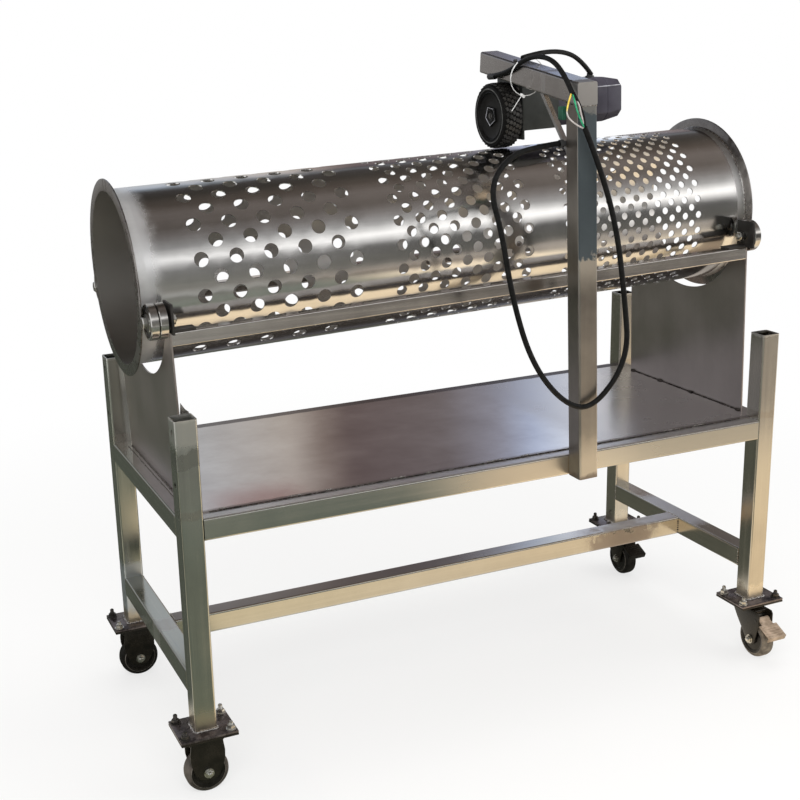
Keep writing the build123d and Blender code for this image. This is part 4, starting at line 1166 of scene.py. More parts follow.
# %% [markdown]
# ## Gear motor and its bracket
# The castings and the folded bracket have the right shape already, but real castings have rounded
# edges that catch the light. A merged copy of each node gets them by a bevel. Screws are added, and
# a pale strip along the motor's joint line, which is a painted highlight.

# %% Motor, gearbox and bracket
MOTOR_Z = 234.4
CASTINGS = {"gearbox": 1.6, "motor_flange": 0.9, "motor_body": 1.2, "motor_cap": 2.4}
for node, width in CASTINGS.items():
    piece(softened(node, width, 3), node + "_cast", "frame", [motor_paint], [node], None, "motor_paint")
piece(
    softened("motor_bracket", 0.8), "motor_bracket_folded", "frame", [plate_steel], ["motor_bracket"],
    None, "black_bracket",
)
piece(
    softened("terminal_block", 1.2), "terminal_block_moulded", "frame", [terminal_plastic],
    ["terminal_block"], None, "terminal_plastic",
)

# A pale strip along the motor's joint line is a painted highlight.
line = bmesh.new()
CAP_START = 367.8
CAP_LEAN = Matrix.Rotation(math.radians(10.5), 4, "Z")
block(line, (247.0, -43.6, 259.4), (CAP_START, -42.4, 261.2), HERE, 0.3)
block(line, (0.0, -0.6, 259.4), (33.0, 0.6, 261.2), at(CAP_START, -43.0, 0) @ CAP_LEAN, 0.3)
piece(line, "motor_painted_highlight_line", "frame", [worn_paint_and_highlight], (), UPPER, "motor_paint")
screws = bmesh.new()
PLATE_SCREW = [(0, 0.0), (5.0, 0.0), (4.6, 1.4), (3.0, 2.2), (2.6, 1.2), (0, 1.2)]
CAP_SCREW = [(0, 0.0), (4.0, 0.0), (4.0, 3.0), (3.4, 3.6), (2.2, 3.6), (2.0, 2.0), (0, 2.0)]
FLANGE_SCREW = [(0, 0.0), (3.4, 0.0), (3.0, 1.6), (1.6, 2.0), (0, 2.0)]


def square(reach):
    """The four corners of a square across the motor."""
    return [(y, z) for y in (-reach, reach) for z in (-reach, reach)]


for y, z in square(34.0):
    turned(screws, PLATE_SCREW, at(169.8, y, MOTOR_Z + z) @ FACING_LEFT, 20)
for y, z in square(20.0):
    turned(screws, CAP_SCREW, at(405.4, y, MOTOR_Z + z) @ ALONG_X, 20)
turned(screws, FLANGE_SCREW, at(252.0, -42.8, 238.0) @ FACING_FRONT, 20)
piece(screws, "motor_screws", "frame", [dark_zinc], (), UPPER, "zinc_fastener")
print("castings:", ", ".join(CASTINGS))

# %% [markdown]
# ## Caster wheels
# A caster wheel is a hard core with a rubber tread moulded round it. The profile gives the groove
# between the two, and the faces outside that groove get the tread's finish. The front ones are
# dustier.

# %% Four caster wheels
CASTER_Z = 40.0
LEG_X = 605.0
LEG_Y = 243.0
TRAIL = 30.0
TREAD_INNER = 32.4
GROOVE_INNER = 30.8
PLATE_X = 52.5
PLATE_Y = 43
PLATE_Z = 120
FOOT_Z = 125
PEDAL_PIVOT = at(45, 0, 87)
PEDAL_SLOPE = Matrix.Rotation(math.radians(25), 4, "Y")
CASTER_WHEEL = [
    (5.05, -15.0), (11.0, -15.0), (12.0, -13.4), (25.0, -12.2), (26.4, -13.8), (30.0, -14.0),
    (31.2, -14.8), (32.4, -14.0), (33.0, -13.0), (36.4, -12.6), (39.0, -10.6), (40.0, -6.5),
]
CASTER_WHEEL += [(radius, -height) for radius, height in reversed(CASTER_WHEEL)]


def caster_spot(side, row):
    """The middle of a caster on the floor; the swivelling ones at the right trail to the front."""
    turn = Matrix.Rotation(math.radians(-90), 4, "Z") if side == "right" else HERE
    return TABLE @ at(SIDES[side] * LEG_X, ROWS[row] * LEG_Y, 0) @ turn


def wheel_spot(side, row):
    """The wheel's middle, heights along its axle."""
    trail = TRAIL if side == "right" else 0.0
    return caster_spot(side, row) @ at(trail, 0, CASTER_Z) @ ALONG_Y


CASTER_TREADS = {
    ("left", "front"): brown_tread, ("left", "back"): caster_tread,
    ("right", "front"): dusty_tread, ("right", "back"): caster_tread,
}
for side, row in CORNERS:
    bm = bmesh.new()
    turned(bm, CASTER_WHEEL, wheel_spot(side, row), 64)
    inverse = wheel_spot(side, row).inverted()
    for face in bm.faces:
        middle = inverse @ face.calc_center_median()
        reach = math.hypot(middle.x, middle.y) / MM
        face.material_index = 1 if reach > TREAD_INNER else 2 if reach > GROOVE_INNER else 0
    node = side + "_" + row + "_caster_wheel"
    tread = CASTER_TREADS[side, row]
    body = side + "_" + row + "_wheel"
    piece(bm, node + "_moulded", body, [caster_core, tread, worn_ring], [node], None, "caster_tread")
print("caster wheels:", len(CORNERS))

# %% [markdown]
# ## Caster forks
# The forks are pressed from black steel: a crown under the plate that runs into two rounded cheeks.
# A cheek is one outline that is drawn up to the sheet's thickness, and its edge is broken all
# round.

# %% Forks of both kinds
CHEEK_INNER = 15.8
CHEEK = 3.0
RIGID_HALF_OUTLINE = [
    (8, 26.6), (17, 30.5), (24, 40), (29, 54), (32, 68), (32.4, 80), (30.6, 92), (29.6, 100),
    (30.6, 108), (34, 115.6),
]
RIGID_OUTLINE = RIGID_HALF_OUTLINE + [(-u, z) for u, z in reversed(RIGID_HALF_OUTLINE)]
SWIVEL_OUTLINE = [
    (26, 27.4), (36, 28.2), (43, 35), (46, 48), (51, 66), (54, 80), (54, 100), (50, 106.4),
    (-20, 106.4), (-25, 101), (-24, 92), (-12, 74), (4, 54), (16, 38), (20, 31),
]


def cheek(bm, outline, side, place):
    """One pressed cheek: its outline drawn up to the sheet's thickness beside the wheel."""
    before = set(bm.verts)
    corners = [bm.verts.new((u * MM, z * MM, 0)) for u, z in outline]
    face = bm.faces.new(corners)
    top = drawn_up(bm, face, CHEEK)
    broken(bm, list(top.edges) + list(face.edges), 0.9, 2)
    inner = CHEEK_INNER if side > 0 else -CHEEK_INNER - CHEEK
    put(bm, before, place @ at(0, inner + CHEEK, 0) @ FACING_FRONT)


forks = bmesh.new()
for row in ROWS:
    spot = caster_spot("left", row)
    for side in (-1, 1):
        cheek(forks, RIGID_OUTLINE, side, spot)
    block(forks, (-33, -18.6, 96), (33, 18.6, 115.8), spot, 5.5, 4)
    block(forks, (-PLATE_X, -PLATE_Y, 116), (PLATE_X, PLATE_Y, PLATE_Z), spot, 1.2)
piece(
    forks, "rigid_forks_pressed", "frame", [caster_black], ["rigid_caster_forks"], None,
    "caster_steel",
)
for row in ROWS:
    spot = caster_spot("right", row)
    fork = bmesh.new()
    for side in (-1, 1):
        cheek(fork, SWIVEL_OUTLINE, side, spot)
    block(fork, (-25, -18.4, 95.5), (38, 18.4, 106.4), spot, 4.5, 4)
    pin = [(0, -19.6), (3.0, -19.6), (3.0, 19.6), (0, 19.6)]
    turned(fork, pin, spot @ PEDAL_PIVOT @ ALONG_Y, 20)
    node = "right_" + row + "_caster_fork"
    piece(
        fork, node + "_pressed", "right_" + row + "_swivel", [caster_black], [node], None,
        "caster_steel",
    )
print("forks:", len(CORNERS))

# %% [markdown]
# ## Axles, plates, studs and pedals
# The axles end in bright nuts. Each leg stands on a welded plate that is bolted to the caster's own
# plate by four studs. Some of the studs have rusted dark. The front brake pedal is tan and the back
# one black, and both have cast ridges.

# %% Axles


def axle(bm, spot):
    """An axle through the wheel with a washer, a nut and a thread end on both sides."""
    turned(bm, [(0, -18.8), (5.0, -18.8), (5.0, 18.8), (0, 18.8)], spot, 24)
    for flip in (0, math.pi):
        end = spot @ Matrix.Rotation(flip, 4, "X")
        turned(bm, [(5.0, 18.8), (9.4, 18.8), (9.4, 20.0), (5.0, 20.0)], end, 28)
        nut(bm, 14.0, 19.8, 24.6, end, chamfer=1.0)
        turned(bm, thread(4.6, 24.4, 28.0, 1.2), end, 20)


axles = bmesh.new()
for row in ROWS:
    axle(axles, wheel_spot("left", row))
    right_axle = bmesh.new()
    axle(right_axle, wheel_spot("right", row))
    node = "right_" + row + "_caster_axle"
    piece(
        right_axle, node + "_nutted", "right_" + row + "_swivel", [zinc], [node], None,
        "zinc_fastener",
    )
piece(axles, "rigid_axles_nutted", "frame", [zinc], ["rigid_caster_axles"], None, "zinc_fastener")
print("axles:", len(CORNERS))

# %% Plates and studs
DARK_STUDS = {
    ("left", "front"): (0, 1), ("right", "back"): (0, 1, 2),
    ("left", "back"): (1, 3), ("right", "front"): (2,),
}
STUD_PLACES = ((-42, -31), (-42, 31), (42, -31), (42, 31))
WASHER = [(4.2, 0), (9.6, 0), (9.6, 1.4), (4.2, 1.4)]
studs, plates = bmesh.new(), bmesh.new()
for side, row in CORNERS:
    spot = TABLE @ at(SIDES[side] * LEG_X, ROWS[row] * LEG_Y, 0)
    block(plates, (-PLATE_X, -PLATE_Y, PLATE_Z), (PLATE_X, PLATE_Y, FOOT_Z), spot, 1.3)
    for index, (x, y) in enumerate(STUD_PLACES):
        before = set(studs.verts)
        stud = spot @ at(x, y, FOOT_Z)
        turned(studs, WASHER, stud, 24)
        nut(studs, 13.0, 1.4, 8.0, stud @ Matrix.Rotation(0.4 * index, 4, "Z"), chamfer=1.0)
        turned(studs, thread(4.0, 7.8, 15.0 + 2 * (index % 2), 1.25), stud, 20)
        if index in DARK_STUDS[side, row]:
            added = [vert for vert in studs.verts if vert not in before]
            for face in {face for vert in added for face in vert.link_faces}:
                face.material_index = 1
piece(studs, "caster_studs_nutted", "frame", [zinc, dark_zinc], ["caster_bolts"], None, "zinc_fastener")
piece(plates, "foot_plates_ground", "frame", [foot_steel], ["foot_plates"], None, "caster_steel")
piece(
    softened("swivel_caster_plates", 0.8), "swivel_plates_pressed", "frame", [caster_black],
    ["swivel_caster_plates"], None, "caster_steel",
)
print("studs:", len(CORNERS) * len(STUD_PLACES))

# %% Brake pedals
RIDGE_COUNT = 5
RIDGE_START = 20.0
RIDGE_PITCH = 6.0
RIDGE_WIDTH = 2.6
for row in ROWS:
    node = "right_" + row + "_brake_pedal"
    pedal = softened(node, 0.6)
    lever = caster_spot("right", row) @ PEDAL_PIVOT @ PEDAL_SLOPE
    for step in range(RIDGE_COUNT):
        reach = RIDGE_START + RIDGE_PITCH * step
        block(pedal, (reach, -19.5, 2.6), (reach + RIDGE_WIDTH, 19.5, 4.4), lever, 0.7)
    finish = tan_pedal if row == "front" else caster_black
    piece(pedal, node + "_ridged", "right_" + row + "_pedal", [finish], [node], None, "caster_steel")
print("pedals:", len(ROWS))

# %% [markdown]
# ## Welds
# The frame is welded by hand. The beads show round the feet of the posts, under the end panels,
# along the front of the tray and where tubes meet. A bead is a row of small lumps of uneven size.

# %% Beads round the posts and joints
beads, burnt = bmesh.new(), bmesh.new()
HALF = 20.0
BEAD_HALF = 17
FOOT_BEAD_Z = 126
for sign in SIDES.values():
    for way in ROWS.values():
        x, y = sign * LEG_X, way * LEG_Y
        seed = 10 + 3 * sign + way
        for edge in (-1, 1):
            shift = edge * HALF
            start, end = (x - HALF, y + shift, FOOT_BEAD_Z), (x + HALF, y + shift, FOOT_BEAD_Z)
            weld(beads, start, end, 4.4, 4.4, TABLE, seed)
            start, end = (x + shift, y - HALF, FOOT_BEAD_Z), (x + shift, y + HALF, FOOT_BEAD_Z)
            weld(beads, start, end, 4.4, 4.4, TABLE, seed + 1)
        for low, high in ((482, 518), (190, 226)):
            inner = y - way * HALF
            start, end = (x - BEAD_HALF, inner, high + 1), (x + BEAD_HALF, inner, high + 1)
            weld(beads, start, end, 1.7, 3.4, TABLE, seed + 2)
            start, end = (x - sign * HALF, inner, low), (x - sign * HALF, inner, high)
            weld(beads, start, end, 1.5, 3.4, TABLE, seed + 3)
        inner = x - sign * HALF
        weld(
            beads, (inner, y - BEAD_HALF, 520.4), (inner, y + BEAD_HALF, 520.4), 1.7, 3.4, TABLE,
            seed + 4,
        )
    inner = sign * (LEG_X - HALF)
    weld(beads, (inner, -BEAD_HALF, 228.2), (inner, BEAD_HALF, 228.2), 1.8, 3.4, TABLE, 40 + sign)
    weld(burnt, (inner, -20, 190), (inner, -20, 227), 2.3, 5.0, TABLE, 42 + sign)
piece(beads, "frame_weld_beads", "frame", [bead], (), None, "stainless_tube", 60)
piece(burnt, "stretcher_joint_beads", "frame", [burnt_bead], (), None, "stainless_tube", 60)
print("beads on the frame")

# %% Beads of the panels, the tray and the drive head
PANEL_FACES = (595.8, 602.4)
PANEL_HALF = 190
TACKS = (-184, -30, 80, 182)
panel_beads, rope = bmesh.new(), bmesh.new()
for face in PANEL_FACES:
    weld(rope, (-face, -PANEL_HALF, 522.2), (-face, PANEL_HALF, 522.2), 1.5, 3.4, TABLE, 49)
    weld(panel_beads, (face, -PANEL_HALF, 522.4), (face, PANEL_HALF, 522.4), 1.7, 4.4, TABLE, 51)
    for tack in TACKS:
        weld(panel_beads, (face, tack - 5, 523), (face, tack + 5, 523), 3.6, 3.0, TABLE, 300 + tack)
weld(panel_beads, (-566, -234.2, 521.2), (560, -234.2, 521.2), 1.6, 2.6, TABLE, 60)
piece(rope, "left_panel_rope_bead", "frame", [dark_bead], (), None, "stainless_sheet", 60)
piece(panel_beads, "sheet_weld_beads", "frame", [burnt_bead], (), None, "stainless_sheet", 60)
edge_beads = bmesh.new()
EDGE_BEAD_COUNT = 11
EDGE_Y = -231.6
EDGE_Z = 522.0
for index in range(EDGE_BEAD_COUNT):
    start = -548 + index * 97 + (index * 29) % 53
    end = start + 10 + (index * 17) % 31
    weld(edge_beads, (start, EDGE_Y, EDGE_Z), (end, EDGE_Y, EDGE_Z), 1.7, 3.0, TABLE, 160 + index)
piece(edge_beads, "tray_edge_beads", "frame", [bead], (), None, "stainless_sheet", 60)
head_beads = bmesh.new()
ARM_UNDER = 248.6
POST_SIDES = (131.5, 168.0)
for x in POST_SIDES:
    weld(head_beads, (x, -300, ARM_UNDER), (x, -266, ARM_UNDER + 5), 1.8, 3.4, HERE, 80)
left, right = POST_SIDES
weld(head_beads, (left, -303.2, ARM_UNDER), (right, -303.2, ARM_UNDER), 1.6, 3.4, HERE, 81)
weld(head_beads, (172.0, -44, 293.5), (172.0, 38, 305.5), 1.8, 3.6, HERE, 82)
piece(head_beads, "drive_head_weld_beads", "frame", [bead], (), UPPER, "stainless_tube", 60)
print("beads on the sheets and the drive head")

# %% [markdown]
# ## Small things
# A bent tab of the cut tube stands up on the front left post. A white nylon tie hangs loosely round
# the arm. The cables are held by saddles, and a tapered boot takes the motor's lead in.

# %% Bent tab on the post
tab = bmesh.new()
TAB = ((-604, -4), (-587, -4), (-588, 3), (-594, 8), (-601.5, 20))
corners = [tab.verts.new((x * MM, 0.06 * z * MM, z * MM)) for x, z in TAB]
tab_face = tab.faces.new(corners)
bmesh.ops.solidify(tab, geom=[tab_face], thickness=1.2 * MM)
piece(tab, "post_bent_tab", "frame", [bead], (), TABLE @ at(0, -224.6, 697), "stainless_tube")
print("tab on the front left post")

# %% Nylon tie on the arm
TIE_WIDTH = 2.6
TIE_THICKNESS = 0.9
tie = bmesh.new()
loop = bmesh.ops.create_circle(tie, segments=28, radius=1.0)["verts"]
for vert in loop:
    vert.co = Vector((vert.co.x * 35.0 - 8.0, 0, vert.co.y * 34.0 - 2.0)) * MM
grown = bmesh.ops.extrude_edge_only(tie, edges=tie.edges[:])["geom"]
bmesh.ops.translate(tie, vec=(0, TIE_WIDTH * MM, 0), verts=corners_of(grown))
bmesh.ops.solidify(tie, geom=tie.faces[:], thickness=TIE_THICKNESS * MM)
knot = at(-16, 0, -36) @ Matrix.Rotation(math.radians(35), 4, "Y")
block(tie, (-5.0, -1.4, -2.6), (5.0, 4.0, 2.6), knot, 0.8)
block(tie, (-1.8, 0.9, -34.0), (-1.0, 2.7, -2.0), knot, 0.2)
arm_lean = Matrix.Rotation(math.radians(8.5), 4, "X")
tie_spot = UPPER @ at(149.8, -118, 296.6) @ arm_lean
piece(tie, "arm_nylon_tie", "frame", [white_nylon], (), tie_spot, "clip_plastic")
print("tie on the arm")

# %% Cable saddles and the motor's boot
clips = bmesh.new()
HOLD = [(5.0, -4), (6.8, -4), (7.2, -3.4), (7.2, 3.4), (6.8, 4), (5.0, 4)]
SLEEVE = [(4.6, -18), (5.0, -18), (6.0, 2), (6.2, 4), (4.6, 4)]
BOOT = [(4.6, 3.0), (6.2, 3.0), (6.0, 4.0), (5.0, 11.0), (4.6, 11.6)]
BOOT_SPOT = at(345, -14, 277.2)
block(clips, (127.8, -263, 178.6), (136.0, -255, 188.0), HERE, 2.0, 3)
turned(clips, HOLD, at(124.5, -257.2, 183.5) @ ALONG_X, 28)
block(clips, (120.5, -9, 291.6), (129.8, -3, 300.0), HERE, 2.0, 3)
turned(clips, SLEEVE, at(122.4, -14, 294.6) @ ALONG_Y, 28)
block(clips, (135.6, -82, 321.6), (142.6, -76, 326.0), HERE, 1.6, 3)
nut(clips, 15.0, 0, 4.0, BOOT_SPOT, chamfer=1.0)
turned(clips, BOOT, BOOT_SPOT, 28)
piece(clips, "cable_saddles", "frame", [clip_plastic], ["cable_clips"], UPPER, "clip_plastic")
print("cable saddles and the boot of the motor lead")

# %% [markdown]
# ## Floor, light and surroundings
# Bright metal shows its surroundings more than its own colour. The machine stands on a pale floor
# in a light tent: a half tunnel that only reflections see, bright where the lamps are and dim
# overhead, so the drum gets its bands. The background itself stays plain white.

# %% World


def light_path_mask(tree):
    """1 for what the camera, a reflection or a see-through surface looks at, 0 for bounced light."""
    path = tree.nodes.new("ShaderNodeLightPath")
    total = path.outputs["Is Camera Ray"]
    for name in ("Is Glossy Ray", "Is Transmission Ray"):
        add = tree.nodes.new("ShaderNodeMath")
        add.operation = "MAXIMUM"
        tree.links.new(total, add.inputs[0])
        tree.links.new(path.outputs[name], add.inputs[1])
        total = add.outputs[0]
    return total


AMBIENT = 0.45
world = bpy.data.worlds.new("studio")
scene.world = world
world.use_nodes = True
world_tree = world.node_tree
background = world_tree.nodes["Background"]
background.inputs["Color"].default_value = (1.0, 1.0, 1.0, 1.0)
strength = world_tree.nodes.new("ShaderNodeMapRange")
strength.inputs["To Min"].default_value = AMBIENT
strength.inputs["To Max"].default_value = 1.0
world_tree.links.new(light_path_mask(world_tree), strength.inputs["Value"])
world_tree.links.new(strength.outputs["Result"], background.inputs["Strength"])
print("world light for surfaces:", AMBIENT)

# %% [markdown]
# The floor is a large disc. Near the machine it is a real surface that takes the shadow, and
# further out it fades into the white of the background.

# %% Floor


def staged(bm, name, finish):
    """A stage object that is not part of the machine."""
    mesh = bpy.data.meshes.new(name)
    bm.to_mesh(mesh)
    bm.free()
    mesh.materials.append(finish.material)
    made = bpy.data.objects.new(name, mesh)
    scene.collection.objects.link(made)
    made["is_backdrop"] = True
    return made


FLOOR_RADIUS = 30.0
FADE_STARTS = 0.7
FADE_ENDS = 2.4
NEAR_GLOW = 0.70
floor_finish = Finish("pale_floor").set(Roughness=0.7)
floor_finish.shader.inputs["Base Color"].default_value = (0.80, 0.79, 0.77, 1.0)
tree = floor_finish.tree
glow = tree.nodes.new("ShaderNodeEmission")
glow.inputs["Strength"].default_value = 1.0
blend = tree.nodes.new("ShaderNodeMixShader")
length = tree.nodes.new("ShaderNodeVectorMath")
length.operation = "LENGTH"
tree.links.new(floor_finish.place, length.inputs[0])
far = floor_finish.remap(length.outputs["Value"], FADE_STARTS, FADE_ENDS, NEAR_GLOW, 1.0)
tree.links.new(floor_finish.math("MULTIPLY", far, light_path_mask(tree)), blend.inputs["Fac"])
tree.links.new(floor_finish.shader.outputs["BSDF"], blend.inputs[1])
tree.links.new(glow.outputs["Emission"], blend.inputs[2])
tree.links.new(blend.outputs["Shader"], tree.nodes["Material Output"].inputs["Surface"])
disc = bmesh.new()
bmesh.ops.create_circle(disc, cap_ends=True, radius=FLOOR_RADIUS, segments=96)
staged(disc, "floor", floor_finish)
print("floor radius", FLOOR_RADIUS)

# %% [markdown]
# The tent is an edge spun round the drum's direction. Its bands are colours by angle, from the
# front of the floor over the top to the back. Only reflections see it, and it lights nothing else.

# %% The light tent
TENT_RADIUS = 3.2
TENT_HALF_LENGTH = 6.0
TENT_CENTRE = Vector((0, TABLE_MIDDLE_Y * MM, 0.8))
TENT_BANDS = [
    (-22, (0.32, 0.30, 0.28)), (-6, (0.26, 0.26, 0.24)), (12, (0.24, 0.24, 0.24)),
    (19, (0.6, 0.6, 0.6)), (26, (1.25, 1.25, 1.25)), (32, (0.8, 0.8, 0.8)),
    (40, (0.35, 0.35, 0.35)), (54, (0.19, 0.175, 0.17)), (66, (0.115, 0.10, 0.09)),
    (86, (0.15, 0.13, 0.12)), (100, (0.085, 0.07, 0.06)), (120, (0.045, 0.04, 0.035)),
    (136, (0.06, 0.055, 0.055)), (146, (0.30, 0.33, 0.37)), (151, (0.6, 0.62, 0.68)),
    (170, (0.6, 0.6, 0.6)), (179, (0.45, 0.43, 0.40)), (186, (0.18, 0.17, 0.15)),
    (202, (0.13, 0.12, 0.10)),
]
BACK_PANELS = [
    (-2.0, (0.6, 0.6, 0.6)), (0.2, (0.95, 1.0, 1.05)), (0.8, (1.0, 0.9, 0.8)),
    (0.95, (0.5, 0.4, 0.35)), (1.1, (0.3, 0.23, 0.22)), (1.6, (0.35, 0.3, 0.3)),
    (1.9, (0.6, 0.6, 0.7)), (2.1, (1.0, 1.15, 1.5)), (2.4, (1.8, 1.9, 2.0)),
    (2.52, (2.2, 2.2, 2.2)), (2.58, (0.36, 0.33, 0.33)), (2.66, (0.34, 0.3, 0.3)),
    (2.74, (0.5, 0.45, 0.45)), (2.85, (0.42, 0.32, 0.3)), (3.0, (0.26, 0.22, 0.2)),
    (3.5, (0.3, 0.27, 0.25)),
]
WARM = [
    (0.0, (0.90, 0.93, 0.90)), (0.5, (1.0, 1.0, 1.0)), (0.8, (1.45, 1.44, 1.42)),
    (1.0, (1.45, 1.43, 1.40)),
]
LOW_WARM = [
    (0.0, (1.0, 1.02, 1.0)), (0.5, (1.0, 1.0, 0.98)), (0.66, (0.80, 0.78, 0.76)),
    (0.82, (0.52, 0.51, 0.50)),
]
TINT_REACH = 3.5
WRAP_FROM = math.radians(-150)
WRAP_TO = math.radians(210)
BACK_EDGE = (math.radians(138), math.radians(146))
FOOT_EDGE = (math.radians(17), math.radians(10))
tent_start, tent_end = TENT_BANDS[0][0], TENT_BANDS[-1][0]


def reflections_only(stage_piece):
    """Hides a stage object from everything but reflections."""
    for ray in ("camera", "diffuse", "transmission", "volume_scatter", "shadow"):
        setattr(stage_piece, "visible_" + ray, False)


def glowing(finish, colour):
    """Makes a finish shine with a colour and take no part in lighting."""
    emission = finish.tree.nodes.new("ShaderNodeEmission")
    finish.link(colour, emission.inputs["Color"])
    finish.link(emission.outputs["Emission"], finish.tree.nodes["Material Output"].inputs["Surface"])
    finish.material.cycles.emission_sampling = "NONE"


def spread(stops):
    """Stops given by angle or distance, as shares of the way from the first to the last."""
    first, last = stops[0][0], stops[-1][0]
    return [((place - first) / (last - first), colour) for place, colour in stops]


tent_finish = Finish("tent_cloth")
height = tent_finish.math("SUBTRACT", tent_finish.axis("Z"), TENT_CENTRE.z)
forward = tent_finish.math("SUBTRACT", TENT_CENTRE.y, tent_finish.axis("Y"))
turn = tent_finish.math("ARCTAN2", height, forward)
wrapped = tent_finish.math("WRAP", turn, WRAP_TO)
wrapped.node.inputs[2].default_value = WRAP_FROM
share = tent_finish.linear(wrapped, math.radians(tent_start), math.radians(tent_end))
bands = tent_finish.ramp(share, spread(TENT_BANDS))
warm = tent_finish.ramp(tent_finish.remap(tent_finish.axis("X"), -TINT_REACH, TINT_REACH), WARM)
low_warm = tent_finish.ramp(tent_finish.remap(tent_finish.axis("X"), -TINT_REACH, TINT_REACH), LOW_WARM)
along = tent_finish.linear(tent_finish.axis("X"), BACK_PANELS[0][0], BACK_PANELS[-1][0])
panels = tent_finish.ramp(along, spread(BACK_PANELS))
at_back = tent_finish.remap(wrapped, *BACK_EDGE)
at_foot = tent_finish.remap(wrapped, *FOOT_EDGE)
tint = tent_finish.mix(at_foot, tent_finish.mix(at_back, warm, panels), low_warm)
glowing(tent_finish, tent_finish.mix(1.0, bands, tint, "MULTIPLY"))

tent = bmesh.new()
edge_ends = [tent.verts.new((side * TENT_HALF_LENGTH, -TENT_RADIUS, 0.0)) for side in (-1, 1)]
tent_edge = tent.edges.new(edge_ends)
to_start = Matrix.Rotation(math.radians(-tent_start), 3, "X")
bmesh.ops.rotate(tent, cent=(0, 0, 0), matrix=to_start, verts=edge_ends)
bmesh.ops.spin(
    tent, geom=[*edge_ends, tent_edge], cent=(0, 0, 0), axis=(-1, 0, 0),
    angle=math.radians(tent_end - tent_start), steps=90,
)
bmesh.ops.translate(tent, vec=TENT_CENTRE, verts=tent.verts)
reflections_only(staged(tent, "light_tent", tent_finish))
print("tent bands:", len(TENT_BANDS))

# %% [markdown]
# The tubes of the table mostly mirror the ground in front of them. A cloth just above the floor,
# again only for reflections, is shaded green-grey at the low end and behind, and sunny straw under
# the machine and in a strip in front of its high end.

# %% The ground cloth
GROUND_FRONT = -3.0
GROUND_BACK = 0.3
CLOTH_HALF = 3.1
CLOTH_Z = 0.0015
SHADY = [
    (-3.0, (0.36, 0.36, 0.33)), (-2.5, (0.52, 0.52, 0.5)), (-2.3, (0.46, 0.46, 0.44)),
    (-2.1, (0.18, 0.18, 0.16)), (-1.75, (0.25, 0.25, 0.22)), (-1.45, (0.25, 0.28, 0.24)),
    (-1.2, (0.21, 0.22, 0.18)), (-0.7, (0.2, 0.22, 0.18)), (-0.4, (0.28, 0.28, 0.2)),
    (0.3, (0.11, 0.12, 0.1)),
]
SUNNY = [
    (-3.0, (0.35, 0.32, 0.28)), (-2.5, (0.35, 0.32, 0.28)), (-2.3, (0.6, 0.5, 0.42)),
    (-2.0, (0.16, 0.14, 0.12)), (-1.8, (0.43, 0.37, 0.3)), (-1.6, (1.1, 0.92, 0.7)),
    (-1.45, (1.6, 1.35, 1.0)), (-1.2, (1.25, 1.05, 0.75)), (-0.7, (1.18, 0.95, 0.65)),
    (-0.4, (1.15, 0.93, 0.63)), (-0.15, (1.05, 0.95, 0.8)), (0.02, (0.85, 0.8, 0.7)),
    (0.12, (0.13, 0.13, 0.11)),
]
BEHIND = [
    (0.0, (0.10, 0.11, 0.09)), (0.6, (0.13, 0.135, 0.11)), (0.8, (0.34, 0.31, 0.27)),
    (1.0, (0.50, 0.45, 0.40)),
]
SHADOW_IN_SUN = (0.50, 0.45, 0.39)
SHADOW_DEPTH = 0.8

ground = Finish("ground_cloth")
depth = ground.linear(ground.axis("Y"), GROUND_FRONT, GROUND_BACK)


def depth_ramp(stops):
    """Colours by the distance in front of or behind the machine, in metres."""
    length = GROUND_BACK - GROUND_FRONT
    return ground.ramp(depth, [((y - GROUND_FRONT) / length, colour) for y, colour in stops])


def both(first, second):
    """A mask where two masks overlap."""
    return ground.math("MULTIPLY", first, second)


def along_x(begins, full):
    """A mask on the cloth that grows along the machine."""
    return ground.remap(ground.axis("X"), begins, full)


def along_y(begins, full):
    """A mask on the cloth that grows towards the back or the front."""
    return ground.remap(ground.axis("Y"), begins, full)


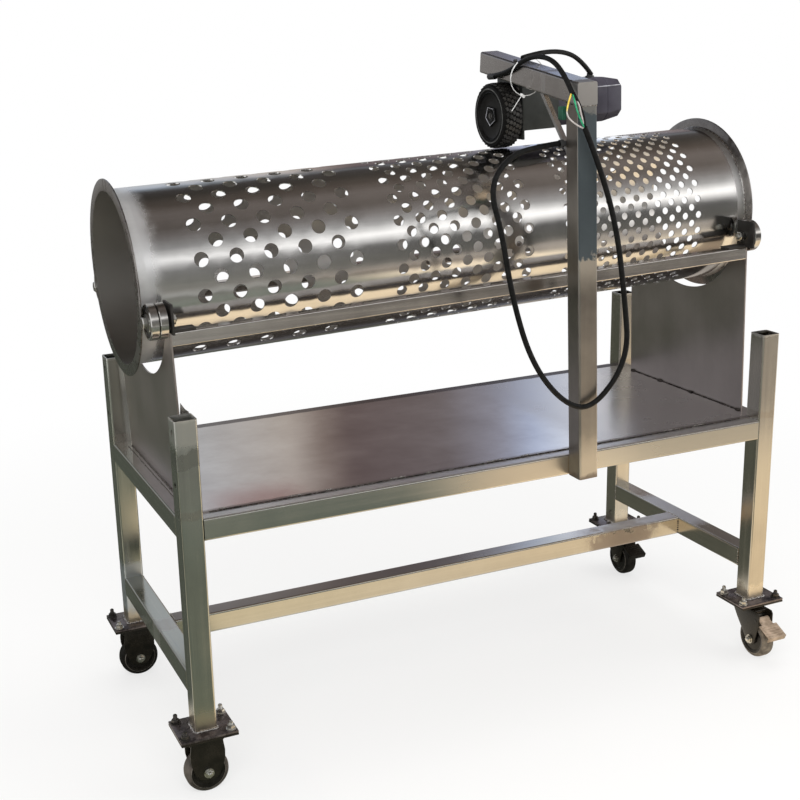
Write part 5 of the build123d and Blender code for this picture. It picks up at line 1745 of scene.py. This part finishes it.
near_side = ground.math("MAXIMUM", along_x(-0.44, -0.39), along_y(-0.22, -0.08))
near_sun = both(near_side, along_y(-0.85, -0.70))
far_sun = both(along_x(0.36, 0.72), along_y(-0.70, -0.85))
side_of_sun = ground.math("ADD", near_sun, far_sun)
in_shadow = both(along_x(1.08, 1.26), along_y(-1.30, -1.38))
sunny = ground.mix(both(in_shadow, SHADOW_DEPTH), depth_ramp(SUNNY), SHADOW_IN_SUN)
front = ground.mix(side_of_sun, depth_ramp(SHADY), sunny)
behind = ground.ramp(along_x(-1.5, 2.0), BEHIND)
glowing(ground, ground.mix(along_y(0.02, 0.14), front, behind))
cloth = bmesh.new()
cloth_spot = Matrix.Translation((0, 0, CLOTH_Z))
bmesh.ops.create_grid(cloth, x_segments=2, y_segments=2, size=CLOTH_HALF, matrix=cloth_spot)
reflections_only(staged(cloth, "ground_cloth", ground))
print("ground cloth for reflections")

# %% [markdown]
# Three large soft lamps give the paint, the rubber and the floor their light. They do not show in
# the metal.

# %% Lamps


def lamp(name, place, target, size, power):
    """A soft rectangular lamp that looks at a point."""
    data = bpy.data.lights.new(name, "AREA")
    data.shape = "RECTANGLE"
    data.size, data.size_y = size
    data.energy = power
    light = bpy.data.objects.new(name, data)
    scene.collection.objects.link(light)
    look = (Vector(target) - Vector(place)).to_track_quat("-Z", "Y").to_matrix().to_4x4()
    light.matrix_world = Matrix.Translation(place) @ look
    light.visible_camera = False
    light.visible_glossy = False
    return light


lamp("key_lamp", (-1.2, -2.6, 2.9), (0, 0, 0.6), (3.0, 1.6), 90)
lamp("top_lamp", (0.3, 0.4, 3.4), (0, 0, 0.5), (3.5, 2.5), 80)
lamp("fill_lamp", (2.8, -1.8, 1.8), (0, 0, 0.6), (2.0, 2.0), 25)
print("lamps:", len(bpy.data.lights))

# %% [markdown]
# ## Sizes
# The box of the dressed model is printed beside the box of the imported one.

# %% Sizes and the end
bpy.context.view_layer.update()
visual_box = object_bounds()
boxes = {"cad": [list(corner) for corner in cad_box], "visual": [list(corner) for corner in visual_box]}
for name, corners in boxes.items():
    print(name, "box", [[round(value, 4) for value in corner] for corner in corners])
